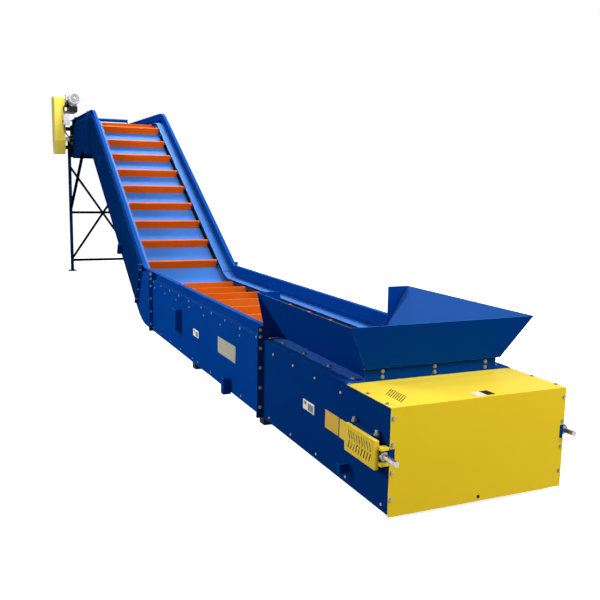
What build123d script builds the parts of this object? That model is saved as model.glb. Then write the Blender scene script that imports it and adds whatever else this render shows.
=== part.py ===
"""Drag conveyor: level loading section with hopper, 30 degree incline, level head with chain drive.

Millimetres. X runs across the trough, +Y from the tail to the head, +Z up from the floor.
The origin is the middle of the tail sill's underside.
"""
from build123d import *
from math import atan2, cos, degrees, hypot, radians, sin, tan
import os

os.makedirs("parts", exist_ok=True)

# Trough
trough_width = 1067.0      # over the side plates
side_plate = 6.0
side_depth = 630.0         # from the board's top lip to the side plate's bottom edge
board_depth = 90.0         # upper side board, above the bolted joint
board_lip = 37.0           # outward lips of the board
board_sheet = 4.0
seat_lip = 40.0            # inward lip that carries the board
end_flange_out = 43.0
end_flange_thick = 8.0
pan_sheet = 5.0            # bottom pans
pan_leg = 70.0
bed_sheet = 6.0            # pan that the flights scrape along
bed_leg = 50.0
half = trough_width / 2
inner = half - side_plate

# Route along the trough, measured on the board's top lip
tail_front = -140.0
floor_gap = 50.0           # floor to the side plates' bottom edge
level_top = floor_gap + side_depth
incline = 30.5
tail_long = 1658.0
mid_long = 3217.0
bend_reach = 389.0         # second flange to the lower bend
flange_3_run = 74.0        # along the incline past the lower bend
lift_reach = 3342.0        # lower bend to upper bend, measured level
head_reach = 254.0         # upper bend to the fourth flange
head_long = 2263.0
flange_1 = tail_front + tail_long
flange_2 = flange_1 + mid_long
lower_bend = flange_2 + bend_reach
upper_bend = lower_bend + lift_reach
flange_4 = upper_bend + head_reach
head_end = flange_4 + head_long
head_top = level_top + lift_reach * tan(radians(incline))
lower_radius = 260.0       # of the board's top lip at the lower bend
lip_radius = 520.0         # of the board's top lip at the upper bend
run_radius = 560.0         # the same for bed, strips and chain
least_radius = 120.0       # smallest of them, at the upper bend

# Chain and flights, depths below the board's top lip
chain_depth = 190.0
chain_high = 40.0
chain_wide = 34.0
chain_side = 75.5          # side plate to the chain's middle
sprocket_radius = 145.0    # chain centre line round the shafts
tooth_clear = 6.0          # wheel rim to chain
flight_pitch = 417.0
lug_reach = 24.0           # flight's end to the chain
flight_thick = 25.0
flight_high = 100.0
flight_top_depth = 160.0
bed_clear = 0.4            # flights lie on the bed
strip_depth = 142.0
strip_sheet = 5.0
strip_wide = 111.5
strip_leg = 40.0
strip_gap = 14.0           # between the strips past the lower bend
strip_inner = inner - strip_wide
chain_x = inner - chain_side
flight_half = chain_x - chain_wide / 2 - lug_reach
bed_depth = flight_top_depth + flight_high + bed_clear
return_depth = chain_depth + 2 * sprocket_radius
shaft_depth = chain_depth + sprocket_radius

# Shafts
tail_shaft_in = 265.0
head_shaft_in = 308.0
tail_shaft_y = tail_front + tail_shaft_in
head_shaft_y = head_end - head_shaft_in
tail_shaft_z = level_top - shaft_depth
head_shaft_z = head_top - shaft_depth
shaft_radius = 35.0
bore_clear = 0.05
running_gap = 0.3
wheel_wide = 26.0
hub_radius = 62.0
hub_wide = 90.0
passage_clear = 8.0

# Stations where the sections meet: place on the top lip, and the lean of the cut
cuts = {
    "tail": (tail_front, level_top, 0.0),
    "flange_1": (flange_1, level_top, 0.0),
    "flange_2": (flange_2, level_top, 0.0),
    "flange_3": (
        lower_bend + flange_3_run * cos(radians(incline)),
        level_top + flange_3_run * sin(radians(incline)),
        incline,
    ),
    "flange_4": (flange_4, head_top, 0.0),
    "head": (head_end, head_top, 0.0),
}

# Section: first cut, bend inside it, last cut
sections = {
    "mid": ("flange_1", None, "flange_2"),
    "bend": ("flange_2", "lower", "flange_3"),
    "incline": ("flange_3", "upper", "flange_4"),
    "head": ("flange_4", None, "head"),
}


def at(cut, depth, along=0.0):
    """Point (y, z) on a cut, at a depth below the top lip and a distance past the cut."""
    y, z, lean = cuts[cut]
    lean = radians(lean)
    return (
        y + depth * sin(lean) + along * cos(lean),
        z - depth * cos(lean) + along * sin(lean),
    )


def bend_corner(bend, depth):
    """Corner (y, z) of the top line's parallel at a depth."""
    shift = depth * tan(radians(incline / 2))
    if bend == "lower":
        return (lower_bend + shift, level_top - depth)
    return (upper_bend + shift, head_top - depth)


def bend_radius(bend, depth, upper_radius):
    """Radius at a depth, with the bends' lines parallel; upper_radius is that of the top line."""
    return lower_radius + depth if bend == "lower" else max(upper_radius - depth, least_radius)


def band(section, upper, lower, upper_radius=lip_radius, start=0.0, stop=0.0):
    """Corners (y, z, radius) of the strip between two depths along one section."""
    first, bend, last = sections[section]
    corners = [(*at(first, upper, start), 0.0)]
    if bend:
        corners.append((*bend_corner(bend, upper), bend_radius(bend, upper, upper_radius)))
    corners.append((*at(last, upper, -stop), 0.0))
    corners.append((*at(last, lower, -stop), 0.0))
    if bend:
        corners.append((*bend_corner(bend, lower), bend_radius(bend, lower, upper_radius)))
    corners.append((*at(first, lower, start), 0.0))
    return corners


def outline(corners):
    """Closed outline through corners (y, z, radius)."""
    with BuildLine(mode=Mode.PRIVATE) as line:
        FilletPolyline(
            *[(y, z) for y, z, radius in corners],
            radius=[radius for y, z, radius in corners],
            close=True,
        )
    return line.edges()


def rectangle(y0, z0, y1, z1):
    return [(y0, z0, 0.0), (y1, z0, 0.0), (y1, z1, 0.0), (y0, z1, 0.0)]


def slab(corners, x0, x1, mode=Mode.ADD):
    """Add an outline of the YZ plane to the current part, from x0 to x1."""
    with BuildSketch(Plane.YZ.offset(min(x0, x1))) as face:
        make_face(outline(corners))
    extrude(face.sketch, amount=abs(x1 - x0), mode=mode)


def tube_between(start, end, x0, x1, width):
    """Add a flat-sided bar of the YZ plane between two points (y, z)."""
    dy = end[0] - start[0]
    dz = end[1] - start[1]
    length = hypot(dy, dz)
    ny = -dz / length * width / 2
    nz = dy / length * width / 2
    slab(
        [
            (start[0] + ny, start[1] + nz, 0.0),
            (end[0] + ny, end[1] + nz, 0.0),
            (end[0] - ny, end[1] - nz, 0.0),
            (start[0] - ny, start[1] - nz, 0.0),
        ],
        x0,
        x1,
    )


def save(builder, name):
    builder.part.label = name
    export_step(builder.part, f"parts/{name}.step")


# Tail side plates with the take-up slot and the hopper's seat lip
cover_sheet = 3.0
cover_drop = 5.0
cover_long = 454.0
cover_below = 10.0
joint_z = level_top - board_depth
cover_top = joint_z - cover_drop
cover_rear = tail_front + cover_long
cover_bottom = floor_gap - cover_below
hopper_lip = 107.0
front_lip = 50.0
slot_half_high = 60.0
slot_front = tail_front + 90.0
slot_rear = tail_front + 325.0

with BuildPart() as tail_sides:
    side_front = tail_front + cover_sheet
    slab(
        [
            (side_front, floor_gap, 0.0),
            (flange_1, floor_gap, 0.0),
            (flange_1, joint_z, 0.0),
            (cover_rear, joint_z, 0.0),
            (cover_rear, cover_top - cover_sheet, 0.0),
            (side_front, cover_top - cover_sheet, 0.0),
        ],
        inner,
        half,
    )
    # Lips: under the cover, under the hopper, behind the cover's front
    slab(
        rectangle(side_front, cover_top - cover_sheet - side_plate, cover_rear, cover_top - cover_sheet),
        half - front_lip,
        inner,
    )
    slab(rectangle(cover_rear, joint_z - side_plate, flange_1, joint_z), half - hopper_lip, inner)
    slab(
        rectangle(side_front, floor_gap, side_front + side_plate, cover_top - cover_sheet - side_plate),
        half - front_lip,
        inner,
    )
    # Outward flange at the first joint
    slab(rectangle(flange_1 - end_flange_thick, floor_gap, flange_1, joint_z), half, half + end_flange_out)
    slab(
        rectangle(slot_front, tail_shaft_z - slot_half_high, slot_rear, tail_shaft_z + slot_half_high),
        inner,
        half,
        mode=Mode.SUBTRACT,
    )
    mirror(about=Plane.YZ)
save(tail_sides, "tail_sides")

# Side plates of the other sections: web, inward seat lip, outward end flanges
short_flange = 550.0       # the flange at the lower bend ends above the bottom edge
flange_depths = dict.fromkeys(cuts, side_depth)
flange_depths["flange_3"] = short_flange


def end_flange(cut, upper, lower, way, x0):
    """Outward flange across the end of a section, between two depths; way is 1 past the cut."""
    step = way * end_flange_thick
    slab(
        [
            (*at(cut, upper), 0.0),
            (*at(cut, lower), 0.0),
            (*at(cut, lower, step), 0.0),
            (*at(cut, upper, step), 0.0),
        ],
        x0,
        half + end_flange_out,
    )


for section, (first, bend, last) in sections.items():
    with BuildPart() as sides:
        slab(band(section, board_depth, side_depth), inner, half)
        slab(band(section, board_depth, board_depth + side_plate), half - seat_lip, inner)
        end_flange(first, board_depth, flange_depths[first], 1, half)
        if section != "head":
            end_flange(last, board_depth, flange_depths[last], -1, half)
        else:
            with Locations(Plane.YZ.offset(inner).location):
                with Locations((head_shaft_y, head_shaft_z, side_plate / 2)):
                    Cylinder(shaft_radius + passage_clear, 3 * side_plate, mode=Mode.SUBTRACT)
        mirror(about=Plane.YZ)
    save(sides, f"{section}_sides")

# Upper side boards: channels that open outwards, with flanges where they meet
board_web = half - board_lip
board_flange_top = 12.0    # below the top lip
for section, (first, bend, last) in sections.items():
    with BuildPart() as boards:
        slab(band(section, 0.0, board_depth), board_web - board_sheet, board_web)
        slab(band(section, 0.0, board_sheet), board_web, half)
        slab(band(section, board_depth - board_sheet, board_depth), board_web, half)
        end_flange(first, board_flange_top, board_depth, 1, board_web)
        if section != "head":
            end_flange(last, board_flange_top, board_depth, -1, board_web)
        mirror(about=Plane.YZ)
    save(boards, f"{section}_boards")

# Bottom pans with upturned legs; the head's pan has the discharge opening
pan_top = side_depth - pan_sheet
end_plate_sheet = 6.0
spout_side = 62.5
spout_long = 453.0
spout_in = 140.0
spout_half = inner - spout_side
spout_rear = head_end - spout_in
spout_front = spout_rear - spout_long
for section in sections:
    short = end_plate_sheet if section == "head" else 0.0
    with BuildPart() as pan:
        slab(band(section, pan_top, side_depth, stop=short), -inner, inner)
        for side in (-1, 1):
            slab(
                band(section, side_depth - pan_leg, pan_top, stop=short),
                side * inner,
                side * (inner - pan_sheet),
            )
        if section == "head":
            slab(
                rectangle(spout_front, head_top - side_depth, spout_rear, head_top - pan_top),
                -spout_half,
                spout_half,
                mode=Mode.SUBTRACT,
            )
    save(pan, f"{section}_bottom")

with BuildPart() as tail_bottom:
    pan_front = tail_front + cover_sheet + side_plate
    slab(rectangle(pan_front, floor_gap, flange_1, floor_gap + pan_sheet), -inner, inner)
    for side in (-1, 1):
        slab(
            rectangle(pan_front, floor_gap + pan_sheet, flange_1, floor_gap + pan_leg),
            side * inner,
            side * (inner - pan_sheet),
        )
save(tail_bottom, "tail_bottom")

# Bed that the flights scrape along, with downturned legs bolted to the side plates
bed_front = tail_shaft_y + sprocket_radius
bed_back = head_shaft_y - sprocket_radius
bed_ends = {
    "bed_level": ("mid", bed_front, 0.0),
    "bed_bend": ("bend", None, 0.0),
    "bed_incline": ("incline", None, 0.0),
    "bed_head": ("head", None, head_end - bed_back),
}
for name, (section, front, short) in bed_ends.items():
    start = 0.0 if front is None else front - flange_1
    with BuildPart() as bed:
        slab(band(section, bed_depth, bed_depth + bed_sheet, run_radius, start, short), -inner, inner)
        for side in (-1, 1):
            slab(
                band(section, bed_depth + bed_sheet, bed_depth + bed_leg, run_radius, start, short),
                side * inner,
                side * (inner - bed_sheet),
            )
    save(bed, name)

# Guard strips over the chains: a flat strip with a downturned leg bolted to the side plate
strip_front = tail_front + 60.0
strip_cuts = {
    "strips_level": ("mid", strip_front - flange_1, 0.0),
    "strips_bend": ("bend", 0.0, 0.0),
    "strips_incline": ("incline", strip_gap, 0.0),
    "strips_head": ("head", 0.0, head_end - head_shaft_y),
}
for name, (section, start, short) in strip_cuts.items():
    with BuildPart() as strips:
        slab(
            band(section, strip_depth, strip_depth + strip_sheet, run_radius, start, short),
            strip_inner,
            inner,
        )
        slab(
            band(section, strip_depth + strip_sheet, strip_depth + strip_leg, run_radius, start, short),
            inner - strip_sheet,
            inner,
        )
        mirror(about=Plane.YZ)
    save(strips, name)


def chain_loop(outward):
    """Corners of the closed chain line, a distance outside its centre line."""
    carry = chain_depth - outward
    back = return_depth + outward
    wrap = sprocket_radius + outward
    corners = []
    for bend in ("lower", "upper"):
        corners.append((*bend_corner(bend, carry), bend_radius(bend, carry, run_radius)))
    corners.append((head_shaft_y + wrap, head_shaft_z + wrap, wrap))
    corners.append((head_shaft_y + wrap, head_shaft_z - wrap, wrap))
    for bend in ("upper", "lower"):
        corners.append((*bend_corner(bend, back), bend_radius(bend, back, run_radius)))
    corners.append((tail_shaft_y - wrap, tail_shaft_z - wrap, wrap))
    corners.append((tail_shaft_y - wrap, tail_shaft_z + wrap, wrap))
    return corners


with BuildPart() as chains:
    for side in (-1, 1):
        slab(
            chain_loop(chain_high / 2),
            side * chain_x - chain_wide / 2,
            side * chain_x + chain_wide / 2,
        )
        slab(
            chain_loop(-chain_high / 2),
            side * chain_x - chain_wide / 2,
            side * chain_x + chain_wide / 2,
            mode=Mode.SUBTRACT,
        )
save(chains, "chains")

# Flights round the loop, with a wider gap at the lower bend that the return run takes up
with BuildLine(mode=Mode.PRIVATE) as centre_line:
    loop = chain_loop(0.0)
    FilletPolyline(
        *[(y, z) for y, z, radius in loop],
        radius=[radius for y, z, radius in loop],
        close=True,
    )
chain_wire = centre_line.wire()
flight_count = round(chain_wire.length / flight_pitch)
flight_middle = chain_depth - flight_top_depth - flight_high / 2
first_flight = 0.95        # pitches past the tail wheel's front, so that they lie as they stopped
level_flights = 12         # before the lower bend
bend_gap = 0.53            # pitches added at the lower bend
return_from = 0.5          # share of the loop where the return run starts
lug_high = 30.0
lug_long = 20.0


def flight_corners(place, heading, out_low, out_high, thick):
    """Corners of a flight's cross-section, from its place on the chain."""
    along = (heading.X * thick / 2, heading.Y * thick / 2)
    corners = []
    for rise, step in ((out_low, -1), (out_high, -1), (out_high, 1), (out_low, 1)):
        corners.append(
            (
                place.X - heading.Y * rise + along[0] * step,
                place.Y + heading.X * rise + along[1] * step,
                0.0,
            )
        )
    return corners


def flight_share(number):
    """Place of a flight, as a share of the loop from the tail wheel's front."""
    place = number + first_flight
    if number >= level_flights:
        taken_up = max(number / flight_count - return_from, 0.0) / (1.0 - return_from)
        place += bend_gap * (1.0 - taken_up)
    return place / flight_count


def flight_faces(plane, out_low, out_high, thick):
    """Cross-sections of all the flights or lugs on one plane."""
    with BuildSketch(plane, mode=Mode.PRIVATE) as faces:
        for number in range(flight_count):
            share = flight_share(number)
            place = chain_wire.position_at(share)
            heading = chain_wire.tangent_at(share)
            make_face(outline(flight_corners(place, heading, out_low, out_high, thick)))
    return faces.sketch


flight_top = chain_depth - flight_top_depth
with BuildPart() as flights:
    extrude(
        flight_faces(Plane.YZ.offset(-flight_half), flight_top - flight_high, flight_top, flight_thick),
        amount=2 * flight_half,
    )
    for lug_start in (-flight_half - lug_reach, flight_half):
        extrude(
            flight_faces(Plane.YZ.offset(lug_start), -lug_high / 2, lug_high / 2, lug_long),
            amount=lug_reach,
        )
save(flights, "flights")

# Shafts with their chain wheels; each turns as one piece
rim_radius = sprocket_radius - chain_high / 2 - tooth_clear
tail_shaft_out = 52.0
drive_shaft_out = 250.0
free_shaft_out = 60.0
tail_shaft_half = half + tail_shaft_out
drive_end = half + drive_shaft_out
free_end = half + free_shaft_out


def shaft_with_wheels(y, z, near, far):
    """Shaft from x = -near to x = far, with a wheel and hub in each chain."""
    with BuildPart() as shaft:
        with BuildSketch(Plane.YZ.offset(-near)):
            with Locations((y, z)):
                Circle(shaft_radius)
        extrude(amount=near + far)
        for side in (-1, 1):
            for radius, wide in ((rim_radius, wheel_wide), (hub_radius, hub_wide)):
                with BuildSketch(Plane.YZ.offset(side * chain_x - wide / 2)):
                    with Locations((y, z)):
                        Circle(radius)
                extrude(amount=wide)
    return shaft


tail_shaft = shaft_with_wheels(tail_shaft_y, tail_shaft_z, tail_shaft_half, tail_shaft_half)
save(tail_shaft, "tail_shaft")
head_shaft = shaft_with_wheels(head_shaft_y, head_shaft_z, drive_end, free_end)
save(head_shaft, "head_shaft")

# Take-up frames: a rectangular guide on each side plate, with a nut block before its front end
frame_front = tail_front + 70.0
frame_rear = tail_front + 341.0
frame_half_high = 80.0
rail_high = 20.0
rail_out = 40.0
frame_end_long = 40.0
nut_long = 42.0
nut_high = 46.0
with BuildPart() as takeup_frames:
    slab(
        rectangle(frame_front, tail_shaft_z - frame_half_high, frame_rear, tail_shaft_z + frame_half_high),
        half,
        half + rail_out,
    )
    slab(
        rectangle(
            frame_front + frame_end_long,
            tail_shaft_z - frame_half_high + rail_high,
            frame_rear - rail_high,
            tail_shaft_z + frame_half_high - rail_high,
        ),
        half,
        half + rail_out,
        mode=Mode.SUBTRACT,
    )
    slab(
        rectangle(
            frame_front - nut_long,
            tail_shaft_z - nut_high / 2,
            frame_front,
            tail_shaft_z + nut_high / 2,
        ),
        half,
        half + rail_out,
    )
    screw_x = half + rail_out / 2
    screw_radius = 14.0
    with BuildSketch(Plane.XZ.offset(-frame_front + nut_long)):
        with Locations((screw_x, tail_shaft_z)):
            Circle(screw_radius + bore_clear)
    extrude(amount=-nut_long - frame_end_long, mode=Mode.SUBTRACT)
    mirror(about=Plane.YZ)
save(takeup_frames, "takeup_frames")

# Take-up screws with the bearing blocks that slide between the rails
block_long = 100.0
block_high = 2 * (frame_half_high - rail_high - running_gap)
screw_out = {-1: 97.0, 1: 56.0}
with BuildPart() as takeup_screws:
    for side in (-1, 1):
        slab(
            rectangle(
                tail_shaft_y - block_long / 2,
                tail_shaft_z - block_high / 2,
                tail_shaft_y + block_long / 2,
                tail_shaft_z + block_high / 2,
            ),
            side * (half + running_gap),
            side * (half + rail_out),
        )
        with BuildSketch(Plane.YZ.offset(side * half - rail_out)):
            with Locations((tail_shaft_y, tail_shaft_z)):
                Circle(shaft_radius + bore_clear)
        extrude(amount=2 * rail_out, mode=Mode.SUBTRACT)
        tip = tail_front - screw_out[side]
        block_front = tail_shaft_y - block_long / 2
        with BuildSketch(Plane.XZ.offset(-block_front)):
            with Locations((side * screw_x, tail_shaft_z)):
                Circle(screw_radius)
        extrude(amount=block_front - tip)
save(takeup_screws, "takeup_screws")

# Take-up guard: a sheet cover with two rows of slanted slots, on the drive's side only
guard_sheet = 2.5
guard_out = 62.0
guard_front = tail_front + 35.0
guard_rear = tail_front + 345.0
guard_low = tail_shaft_z - 70.0
guard_high = tail_shaft_z + 73.0
wing_long = 173.0
wing_low = tail_shaft_z - 68.0
wing_high = tail_shaft_z + 36.0
slot_count = 9
slot_pitch = 27.0
slot_wide = 9.0
slot_tall = 44.0
slot_lean = 18.0
slot_mid = (guard_low + guard_high) / 2
with BuildPart() as takeup_guards:
    # Tray over the rails, open towards them
    slab(rectangle(guard_front, guard_low, guard_rear, guard_high), half + rail_out, half + guard_out)
    slab(
        rectangle(
            guard_front + guard_sheet,
            guard_low + guard_sheet,
            guard_rear - guard_sheet,
            guard_high - guard_sheet,
        ),
        half + rail_out,
        half + guard_out - guard_sheet,
        mode=Mode.SUBTRACT,
    )
    # Its rear wall reaches the side plate and turns into a wing
    slab(rectangle(guard_rear - guard_sheet, wing_low, guard_rear, wing_high), half, half + rail_out)
    slab(rectangle(guard_rear, wing_low, guard_rear + wing_long, wing_high), half, half + guard_sheet)
    for row, lean in ((1, 1), (-1, -1)):
        for number in range(slot_count):
            y = (guard_front + guard_rear) / 2 + (number - (slot_count - 1) / 2) * slot_pitch
            z = slot_mid + row * (slot_tall / 2 + slot_wide / 2)
            slab(
                [
                    (y - slot_wide / 2 - lean * slot_lean / 2, z - slot_tall / 2, 0.0),
                    (y + slot_wide / 2 - lean * slot_lean / 2, z - slot_tall / 2, 0.0),
                    (y + slot_wide / 2 + lean * slot_lean / 2, z + slot_tall / 2, 0.0),
                    (y - slot_wide / 2 + lean * slot_lean / 2, z + slot_tall / 2, 0.0),
                ],
                half + guard_out - 2 * guard_sheet,
                half + guard_out,
                mode=Mode.SUBTRACT,
            )
    mirror(about=Plane.YZ, mode=Mode.REPLACE)
save(takeup_guards, "takeup_guards")

# Tail cover: front sheet and top sheet in one bend, notched for the screws, with a vent
notch_wide = 28.0
notch_high = 74.0
vent_count = 8
vent_pitch = 20.0
vent_wide = 7.0
vent_long = 125.0
vent_side = 135.5
vent_in = 183.0
vent_lean = -45.0
with BuildPart() as tail_cover:
    slab(rectangle(tail_front, cover_bottom, tail_front + cover_sheet, cover_top), -half, half)
    slab(
        rectangle(tail_front + cover_sheet, cover_top - cover_sheet, cover_rear, cover_top),
        -half,
        half,
    )
    with BuildSketch(Plane.XZ.offset(-tail_front)):
        for side in (-1, 1):
            with Locations((side * (half - notch_wide / 2), tail_shaft_z)):
                Rectangle(notch_wide, notch_high)
    extrude(amount=-cover_sheet, mode=Mode.SUBTRACT)
    with BuildSketch(Plane.XY.offset(cover_top - cover_sheet)):
        for number in range(vent_count):
            y = tail_front + vent_in + (number - (vent_count - 1) / 2) * vent_pitch
            with Locations(Location((vent_side - half, y), vent_lean)):
                SlotOverall(vent_long, vent_wide, rotation=90)
    extrude(amount=cover_sheet, mode=Mode.SUBTRACT)
save(tail_cover, "tail_cover")

# Hopper: front wall and two side walls, leaning outwards, open at the rear
hopper_high = 227.0        # rim above the boards' top lip
hopper_flare = 44.5        # rim outside the side plates
hopper_foot_in = 141.5     # foot inside the side plates
hopper_sheet = 4.0
hopper_top = level_top + hopper_high
hopper_rim = half + hopper_flare
hopper_foot = half - hopper_foot_in
front_plate_sheet = 5.0
front_plate_y = cover_rear
hopper_front_foot = front_plate_y + front_plate_sheet
hopper_front_lean = 116.0
hopper_front_rim = hopper_front_foot - hopper_front_lean
hopper_rear = flange_1 - hopper_sheet
front_wall_high = 70.0     # from the joint to the front wall's lower edge
front_wall_low = joint_z + front_wall_high
front_cut_long = 140.0
foot_lip = 90.0
foot_sheet = 5.0
foot_in = 2.0              # foot's inner edge to the wall's foot
foot_start = 40.0          # foot's front end behind the cover


def hopper_face(offset):
    """Funnel outline from the foot to the rim, moved outwards by an offset."""
    with BuildSketch(Plane.XY.offset(joint_z), mode=Mode.PRIVATE) as foot:
        with BuildLine():
            Polyline(
                (-hopper_foot - offset, hopper_rear),
                (-hopper_foot - offset, hopper_front_foot - offset),
                (hopper_foot + offset, hopper_front_foot - offset),
                (hopper_foot + offset, hopper_rear),
                close=True,
            )
        make_face()
    with BuildSketch(Plane.XY.offset(hopper_top), mode=Mode.PRIVATE) as rim:
        with BuildLine():
            Polyline(
                (-hopper_rim - offset, hopper_rear),
                (-hopper_rim - offset, hopper_front_rim - offset),
                (hopper_rim + offset, hopper_front_rim - offset),
                (hopper_rim + offset, hopper_rear),
                close=True,
            )
        make_face()
    return [foot.sketch, rim.sketch]


with BuildPart() as hopper:
    loft(sections=hopper_face(hopper_sheet))
    loft(sections=hopper_face(0.0), mode=Mode.SUBTRACT)
    # The front wall stops above the front plate
    with BuildSketch(Plane.XY.offset(joint_z)):
        with Locations((0, hopper_front_foot - front_cut_long / 2)):
            Rectangle(2 * (hopper_foot + foot_lip), front_cut_long)
    extrude(amount=front_wall_high, mode=Mode.SUBTRACT)
    # Feet bolted to the tail's lips
    for side in (-1, 1):
        slab(
            rectangle(cover_rear + foot_start, joint_z, hopper_rear, joint_z + foot_sheet),
            side * (hopper_foot + foot_in),
            side * (hopper_foot + foot_lip),
        )
save(hopper, "hopper")

# Front plate under the hopper's front wall: its foot fills the space between the tail's lips
front_plate_foot = 45.0
front_plate_gap = 3.0
plate_top = front_wall_low - front_plate_gap
plate_low = joint_z - front_plate_foot
with BuildPart() as hopper_front_plate:
    with BuildSketch(Plane.XZ.offset(-front_plate_y)):
        with Locations((0, (plate_low + plate_top) / 2)):
            Rectangle(2 * (half - hopper_lip), plate_top - plate_low)
    extrude(amount=-front_plate_sheet)
save(hopper_front_plate, "hopper_front_plate")

# Rear plates that close the gap between the hopper and the side boards
with BuildPart() as hopper_rear_plates:
    with BuildSketch(Plane.XZ.offset(-flange_1)):
        with BuildLine():
            Polyline(
                (strip_inner, joint_z + side_plate),
                (half + end_flange_out, joint_z + side_plate),
                (half + end_flange_out, level_top),
                (half, level_top),
                (hopper_rim + hopper_sheet, hopper_top),
                (strip_inner, hopper_top),
                close=True,
            )
        make_face()
    extrude(amount=hopper_sheet)
    mirror(about=Plane.YZ)
save(hopper_rear_plates, "hopper_rear_plates")

# Head bearings on the outer faces
bearing_radius = 62.0
bearing_flange = 170.0
bearing_corner = 20.0
bearing_flange_thick = 16.0
bearing_out = 52.0
with BuildPart() as head_bearings:
    with BuildSketch(Plane.YZ.offset(half)):
        with Locations((head_shaft_y, head_shaft_z)):
            RectangleRounded(bearing_flange, bearing_flange, bearing_corner)
    extrude(amount=bearing_flange_thick)
    with BuildSketch(Plane.YZ.offset(half)):
        with Locations((head_shaft_y, head_shaft_z)):
            Circle(bearing_radius)
    extrude(amount=bearing_out)
    with BuildSketch(Plane.YZ.offset(half)):
        with Locations((head_shaft_y, head_shaft_z)):
            Circle(shaft_radius + bore_clear)
    extrude(amount=bearing_out, mode=Mode.SUBTRACT)
    mirror(about=Plane.YZ)
save(head_bearings, "head_bearings")

# Cross tube over the head, hung from the boards' webs
tube_radius = 28.0
tube_side = 37.5
tube_in = 75.0
tube_rise = 39.0
tube_half = board_web - board_sheet - tube_side
tube_y = head_end - tube_in
tube_z = head_top + tube_rise
tube_wall = 4.0
lug_sheet = 8.0
lug_drop = 90.0
with BuildPart() as head_tube:
    with BuildSketch(Plane.YZ.offset(-tube_half)):
        with Locations((tube_y, tube_z)):
            Circle(tube_radius)
            Circle(tube_radius - tube_wall, mode=Mode.SUBTRACT)
    extrude(amount=2 * tube_half)
    for side in (-1, 1):
        slab(
            rectangle(
                tube_y - tube_radius,
                head_top - lug_drop,
                tube_y + tube_radius,
                tube_z + tube_radius,
            ),
            side * tube_half,
            side * (tube_half + lug_sheet),
        )
        slab(
            rectangle(
                tube_y - tube_radius,
                head_top - lug_drop,
                tube_y + tube_radius,
                head_top - lug_drop + lug_sheet,
            ),
            side * tube_half,
            side * (board_web - board_sheet),
        )
save(head_tube, "head_tube")

# Head end plate, from the bottom edge up to the strips
with BuildPart() as head_end_plate:
    slab(
        rectangle(
            head_end - end_plate_sheet,
            head_top - side_depth,
            head_end,
            head_top - strip_depth,
        ),
        -inner,
        inner,
    )
save(head_end_plate, "head_end_plate")

# Discharge spout under the head: four walls and a drilled flange
spout_wall = 5.0
spout_drop = 16.0
spout_flange = 50.0
spout_flange_thick = 8.0
spout_hole_radius = 7.0
spout_z = head_top - side_depth
spout_middle = (0, (spout_front + spout_rear) / 2)
with BuildPart() as discharge_spout:
    with BuildSketch(Plane.XY.offset(spout_z - spout_drop)):
        with Locations(spout_middle):
            Rectangle(2 * (spout_half + spout_flange), spout_long + 2 * spout_flange)
            Rectangle(2 * spout_half, spout_long, mode=Mode.SUBTRACT)
            with GridLocations(2 * spout_half + spout_flange, spout_long + spout_flange, 2, 2):
                Circle(spout_hole_radius, mode=Mode.SUBTRACT)
    extrude(amount=spout_flange_thick)
    with BuildSketch(Plane.XY.offset(spout_z - spout_drop + spout_flange_thick)):
        with Locations(spout_middle):
            Rectangle(2 * (spout_half + spout_wall), spout_long + 2 * spout_wall)
            Rectangle(2 * spout_half, spout_long, mode=Mode.SUBTRACT)
    extrude(amount=spout_drop - spout_flange_thick)
save(discharge_spout, "discharge_spout")

# Drive: chain guard outboard of the near side plate
guard_case_gap = 137.0     # side plate to the guard
guard_case_wide = 174.0
guard_case_ahead = 205.0   # ahead of the head shaft, and past it
guard_case_past = 195.0
guard_case_rise = 367.0    # above the head's top
guard_case_inner = half + guard_case_gap
guard_case_outer = guard_case_inner + guard_case_wide
guard_case_front = head_shaft_y - guard_case_ahead
guard_case_rear = head_shaft_y + guard_case_past
guard_case_top = head_top + guard_case_rise
guard_case_bend = head_shaft_z - 32.0
guard_case_bottom = head_shaft_z - 250.0
guard_case_taper = 95.0
guard_case_round = 60.0
guard_case_foot_round = 20.0
case_sheet = 3.0


def case_outline(shrink):
    """Outline of the guard, drawn in by the sheet's thickness."""
    foot_round = guard_case_foot_round
    return [
        (guard_case_front + shrink, guard_case_bend, 0.0),
        (guard_case_front + shrink, guard_case_top - shrink, guard_case_round - shrink),
        (guard_case_rear - shrink, guard_case_top - shrink, guard_case_round - shrink),
        (guard_case_rear - shrink, guard_case_bend, 0.0),
        (guard_case_rear - guard_case_taper - shrink, guard_case_bottom + shrink, foot_round),
        (guard_case_front + guard_case_taper + shrink, guard_case_bottom + shrink, foot_round),
    ]


with BuildPart() as drive_guard:
    slab(case_outline(0.0), -guard_case_inner, -guard_case_outer)
    slab(
        case_outline(case_sheet),
        -guard_case_inner - case_sheet,
        -guard_case_outer + case_sheet,
        mode=Mode.SUBTRACT,
    )
    with BuildSketch(Plane.YZ.offset(-guard_case_inner - case_sheet)):
        with Locations((head_shaft_y, head_shaft_z)):
            Circle(shaft_radius + passage_clear)
    extrude(amount=case_sheet, mode=Mode.SUBTRACT)
save(drive_guard, "drive_guard")

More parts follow.
